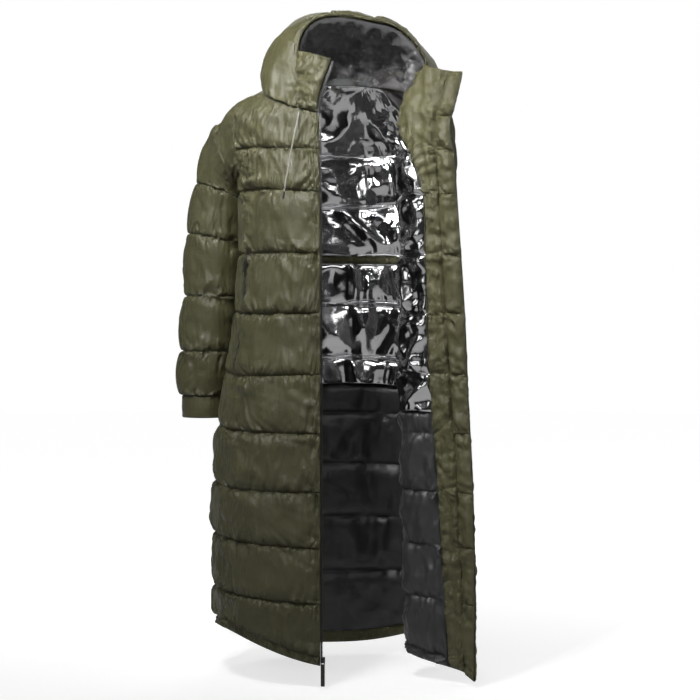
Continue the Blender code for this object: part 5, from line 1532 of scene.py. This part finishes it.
def smooth_route(points, step):
    """Evenly spaced points on a smooth curve through a route's points, and its length."""
    points = np.asarray(points, float)
    last = len(points) - 1
    at = np.linspace(0, last, 12 * last + 1)
    fine = np.stack([through(np.arange(last + 1), points[:, k], at) for k in range(3)], axis=1)
    run = run_of(fine)
    wanted = np.linspace(0, run[-1], max(2, round(run[-1] / step)) + 1)
    return read_off(wanted, run, fine), float(run[-1])


def curve_tube(name, points, diameter, slot, replaced, radii=None):
    data = bpy.data.curves.new(name, "CURVE")
    data.dimensions = "3D"
    data.bevel_depth, data.bevel_resolution, data.use_fill_caps = diameter / 2, 3, True
    spline = data.splines.new("POLY")
    spline.points.add(len(points) - 1)
    for k, (knot, point) in enumerate(zip(spline.points, points)):
        knot.co = (*point, 1.0)
        knot.radius = 1.0 if radii is None else radii[k]
    data.materials.append(FINISH[slot])
    return piece(add_object(name, data), slot, replaced)


def build_cords():
    for side, route in CORDS.items():
        points, length = smooth_route(route, 0.0025)
        cord = curve_tube("cord_" + side, points, CORD_DIAMETER, "grey_cord", "drawcord_" + side)
        down = unit(points[-1] - points[-2])
        stops, radii = TIP_PROFILE.T
        tip = curve_tube("cord_tip_" + side, points[-1] - down * TIP_OVERLAP + stops[:, None] * down,
                         TIP_DIAMETER, "dark_metal", "drawcord_tip_" + side, radii)
        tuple(route[0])
    over = RIM_WALL + 6 * GAP + CORD_DIAMETER / 2
    ups, rises = BIGHT_PROFILE.T
    for side, u in (("right", ups), ("left", 3 - ups)):
        share = BIGHT_SHARE + 0 * u
        points, _ = smooth_route(off_hood(u, share, hood_offset(u, share) + over + rises), 0.002)
        curve_tube("bight_" + side, points, CORD_DIAMETER, "grey_cord", "drawcord_bight_" + side)


# ---------------------------------------------------------------- zips
TAPE_LOW, TAPE_HIGH = 0.0005, 0.0017
POCKET_ROWS = (6.02, 8.0)
POCKET_TAPE_WIDTH = 0.005
# span of the panel, and the shares of it where a pocket's tape starts and the way it runs
POCKET_COLUMNS = {"right": (front_span, (0.93, 0.74)), "left": (left_hood_span, (0.08, 0.32))}
# half a tooth's length as a share of the pitch, half its height, and how much longer its foot is
TOOTH_SHARE, TOOTH_HALF_HEIGHT, TOOTH_FOOT = 0.31, 0.0011, 1.15
TOOTH_CORNERS = ((-1, -1), (1, -0.7), (1, 0.7), (-1, 1))
TOOTH_FACES = ((0, 3, 2, 1), (4, 5, 6, 7), (0, 1, 5, 4), (1, 2, 6, 5), (2, 3, 7, 6), (3, 0, 4, 7))
KEPT_METAL = ("zip_slider", "zip_pull", "inner_pocket_snap", "eyelet")


def teeth(name, line, aside, pitch=0.0026, width=0.0036):
    """A row of tapered zip teeth across a line."""
    run = run_of(line)
    at = np.arange(pitch, run[-1], pitch)
    spot, side = read_off(at, run, line), unit(read_off(at, run, aside))
    ahead = unit(read_off(at + 0.001, run, line) - spot)
    out = unit(np.cross(side, ahead))
    half = pitch * TOOTH_SHARE
    shapes = np.stack([
        spot + side * (x * width / 2) + ahead * (y * half * foot) + out * (z * TOOTH_HALF_HEIGHT)
        for z, foot in ((-1, TOOTH_FOOT), (1, 1.0)) for x, y in TOOTH_CORNERS], 1)
    add_copies("teeth_" + name, shapes, TOOTH_FACES, FINISH["dark_metal"], smooth=False)


def tape_right():
    """Zip tape along the right front and up the collar's flared edge."""
    base, normals = on_body(*np.meshgrid((-0.011, -0.008, -0.005, -GIRTH_GAP),
                                         np.linspace(0.36, NECK_ROW - 0.01, 180)))
    rises = np.linspace(0.10, 0.97, 22)
    edge = collar_zip_edge(rises)
    across = unit(collar_right_point(0.05 + 0 * rises, rises) - edge)
    normal = collar_normal(0.02 + 0 * rises, rises)
    beside = edge[:, None] - across[:, None] * np.array((0.0062, 0.0044, 0.0027, 0.0010))[None, :, None]
    low, high = (np.concatenate([base + normals * off, beside + normal[:, None] * off])
                 for off in (TAPE_LOW, TAPE_HIGH))
    item = add_wall("zip_tape_right_cloth", high, low, "dark_zip", "zip_tape_right", coarse=1)
    cut_from(low, ["front_right", "collar_right"])
    teeth("right", (high[:, 0] + low[:, 0]) / 2, high[:, 0] - high[:, 1])


def build_pocket(side):
    """Zip tape of a side pocket, laid on the finished cloth."""
    span, columns = POCKET_COLUMNS[side]
    name = "front_" + side
    rows = np.linspace(*POCKET_ROWS, 60)
    low, high = span(rows)
    first, far = (low + (high - low) * share for share in columns)
    grids = []
    for lift in (0.0016, 0.0002):
        lines = []
        for row, a, b in zip(rows, first, far):
            reach = np.linalg.norm(on_panel(name, b, row, lift) - on_panel(name, a, row, lift))
            step = POCKET_TAPE_WIDTH / reach
            lines.append([on_panel(name, a + (b - a) * step * k, row, lift) for k in (0, 0.33, 0.67, 1.0)])
        grids.append(np.array(lines))
    outer, inner = grids
    item = add_wall(f"pocket_zip_{side}_tape", outer, inner, "dark_zip", "pocket_zip_" + side, coarse=1)
    cut_from(inner, [name])
    teeth("pocket_" + side, outer[:, 1] * 0.5 + outer[:, 2] * 0.5, outer[:, 2] - outer[:, 1], 0.0020, 0.0028)


def build_inner_pocket():
    low = -GAP - LINING - 0.0008
    strip_wall("inner_pocket_zip_tape", low - 0.0012, low, np.linspace(4.80, 4.88, 4),
               np.linspace(7.75, 8.88, 40), "dark_zip", "inner_pocket_zip")


def finish_kept():
    """Metal of the sliders, pulls, eyelets and snap that stay as the CAD has them."""
    for item in bpy.data.objects:
        if item.type == "MESH" and item.name.startswith(KEPT_METAL):
            for slot in item.material_slots:
                slot.material = FINISH["dark_metal"]


# ---------------------------------------------------------------- room and light
FLOOR = -1.262
FLOOR_RINGS, FLOOR_SIDES = (0.5, 1.0, 2.0, 4.0, 12.0), 64
# name: place, aim, size, power, spread in degrees
LAMPS = {
    "key": ((-0.75, -1.05, 1.0), (-0.15, -0.05, -0.12), (0.45, 0.45), 6.5, 56),
    "top_front": ((-0.3, -1.4, 1.2), (-0.1, 0, -0.1), (0.5, 0.5), 5, 180),
    "front_card": ((0.3, -3.0, 1.1), (0.1, 0, -0.3), (1.6, 0.6), 9, 180),
    "left_card": ((-2.4, -0.4, 0.9), (-0.1, 0, -0.1), (1.2, 1.4), 11, 180),
    "left_front_card": ((-2.3, -2.1, 0.5), (0.0, 0, -0.2), (0.8, 1.2), 5, 180),
    "right_card": ((2.2, -2.0, 0.9), (0.1, 0, -0.3), (0.6, 1.6), 16, 180),
    "right_rim": ((1.6, 0.3, 1.0), (0.1, 0, -0.2), (0.6, 1.0), 10, 180),
    "back_card": ((0.6, 2.4, 1.2), (0.0, 0, -0.3), (1.6, 1.0), 22, 180),
    "hood_light": ((-1.5, -3.2, 1.1), (-0.02, 0.05, 0.09), (0.25, 0.25), 0.5, 15),
}


def build_stage():
    """Pale floor all round that glows with painted light, brighter further away and brightest to the camera,
    so that it melts into the white room.
    """
    nodes = Nodes("pale_floor")
    far = nodes.add("ShaderNodeVectorMath", operation="LENGTH")
    nodes.link(nodes.place, far.inputs[0])
    nodes.color((0.50, 0.50, 0.495))
    nodes.set(Roughness=0.9, Emission_Color=(1.0, 1.0, 1.0, 1.0))
    # painted light: the floor glows, weakly near the coat and for light it casts, fully far away where the
    # camera sees it
    seen = nodes.add("ShaderNodeLightPath").outputs["Is Camera Ray"]
    glow = nodes.math("MULTIPLY", nodes.ramp(far.outputs["Value"], 1.30, 2.3, 0.68, 0.98),
                      nodes.ramp(seen, 0, 1, 0.30, 1.0))
    nodes.link(glow, nodes.shader.inputs["Emission Strength"])
    nodes.bump((nodes.noise(0.004), 0.0001))
    count = FLOOR_SIDES
    points = [(0.0, 0.0, FLOOR)] + [(r * math.cos(a), r * math.sin(a), FLOOR) for r in FLOOR_RINGS
                                    for a in np.linspace(0, 2 * math.pi, count, endpoint=False)]
    faces = [(0, 1 + k, 1 + (k + 1) % count) for k in range(count)]
    for start in range(1, 1 + count * (len(FLOOR_RINGS) - 1), count):
        for k in range(count):
            after = (k + 1) % count
            faces.append((start + k, start + count + k, start + count + after, start + after))
    add_mesh("floor", points, faces, [nodes.material], body=None)


def build_lamps():
    for name, (at, aim, size, power, spread) in LAMPS.items():
        data = bpy.data.lights.new(name, "AREA")
        data.shape, data.size, data.size_y = "RECTANGLE", *size
        data.energy, data.color, data.spread = power, (1, 1, 1), math.radians(spread)
        made = bpy.data.objects.new(name, data)
        made.location = at
        made.rotation_euler = (Vector(aim) - Vector(at)).to_track_quat("-Z", "Y").to_euler()
        made.visible_camera = False
        bpy.context.scene.collection.objects.link(made)


def build_world():
    """A dim room that the camera sees as white."""
    world = bpy.data.worlds.new("studio")
    bpy.context.scene.world = world
    world.use_nodes = True
    tree = world.node_tree
    dim, white = tree.nodes["Background"], tree.nodes.new("ShaderNodeBackground")
    for node, color, strength in ((dim, (0.92, 0.96, 1.0, 1), 0.02), (white, (1, 1, 1, 1), 1.0)):
        node.inputs["Color"].default_value = color
        node.inputs["Strength"].default_value = strength
    seen, both = tree.nodes.new("ShaderNodeLightPath"), tree.nodes.new("ShaderNodeMixShader")
    for k, output in enumerate((seen.outputs["Is Camera Ray"], dim.outputs[0], white.outputs[0])):
        tree.links.new(output, both.inputs[k])
    tree.links.new(both.outputs[0], tree.nodes["World Output"].inputs["Surface"])
    bpy.context.scene.view_settings.view_transform = "Standard"


build_camera()
build_cords()
build_shell()
build_linings()
build_front_edges()
build_sleeve("right", 61)
build_sleeve("left", 71)
build_hood()
build_rim()
build_collar()
tape_right()
build_pocket("right")
build_pocket("left")
build_inner_pocket()
build_threads()
finish_kept()
build_stage()
build_world()
build_lamps()
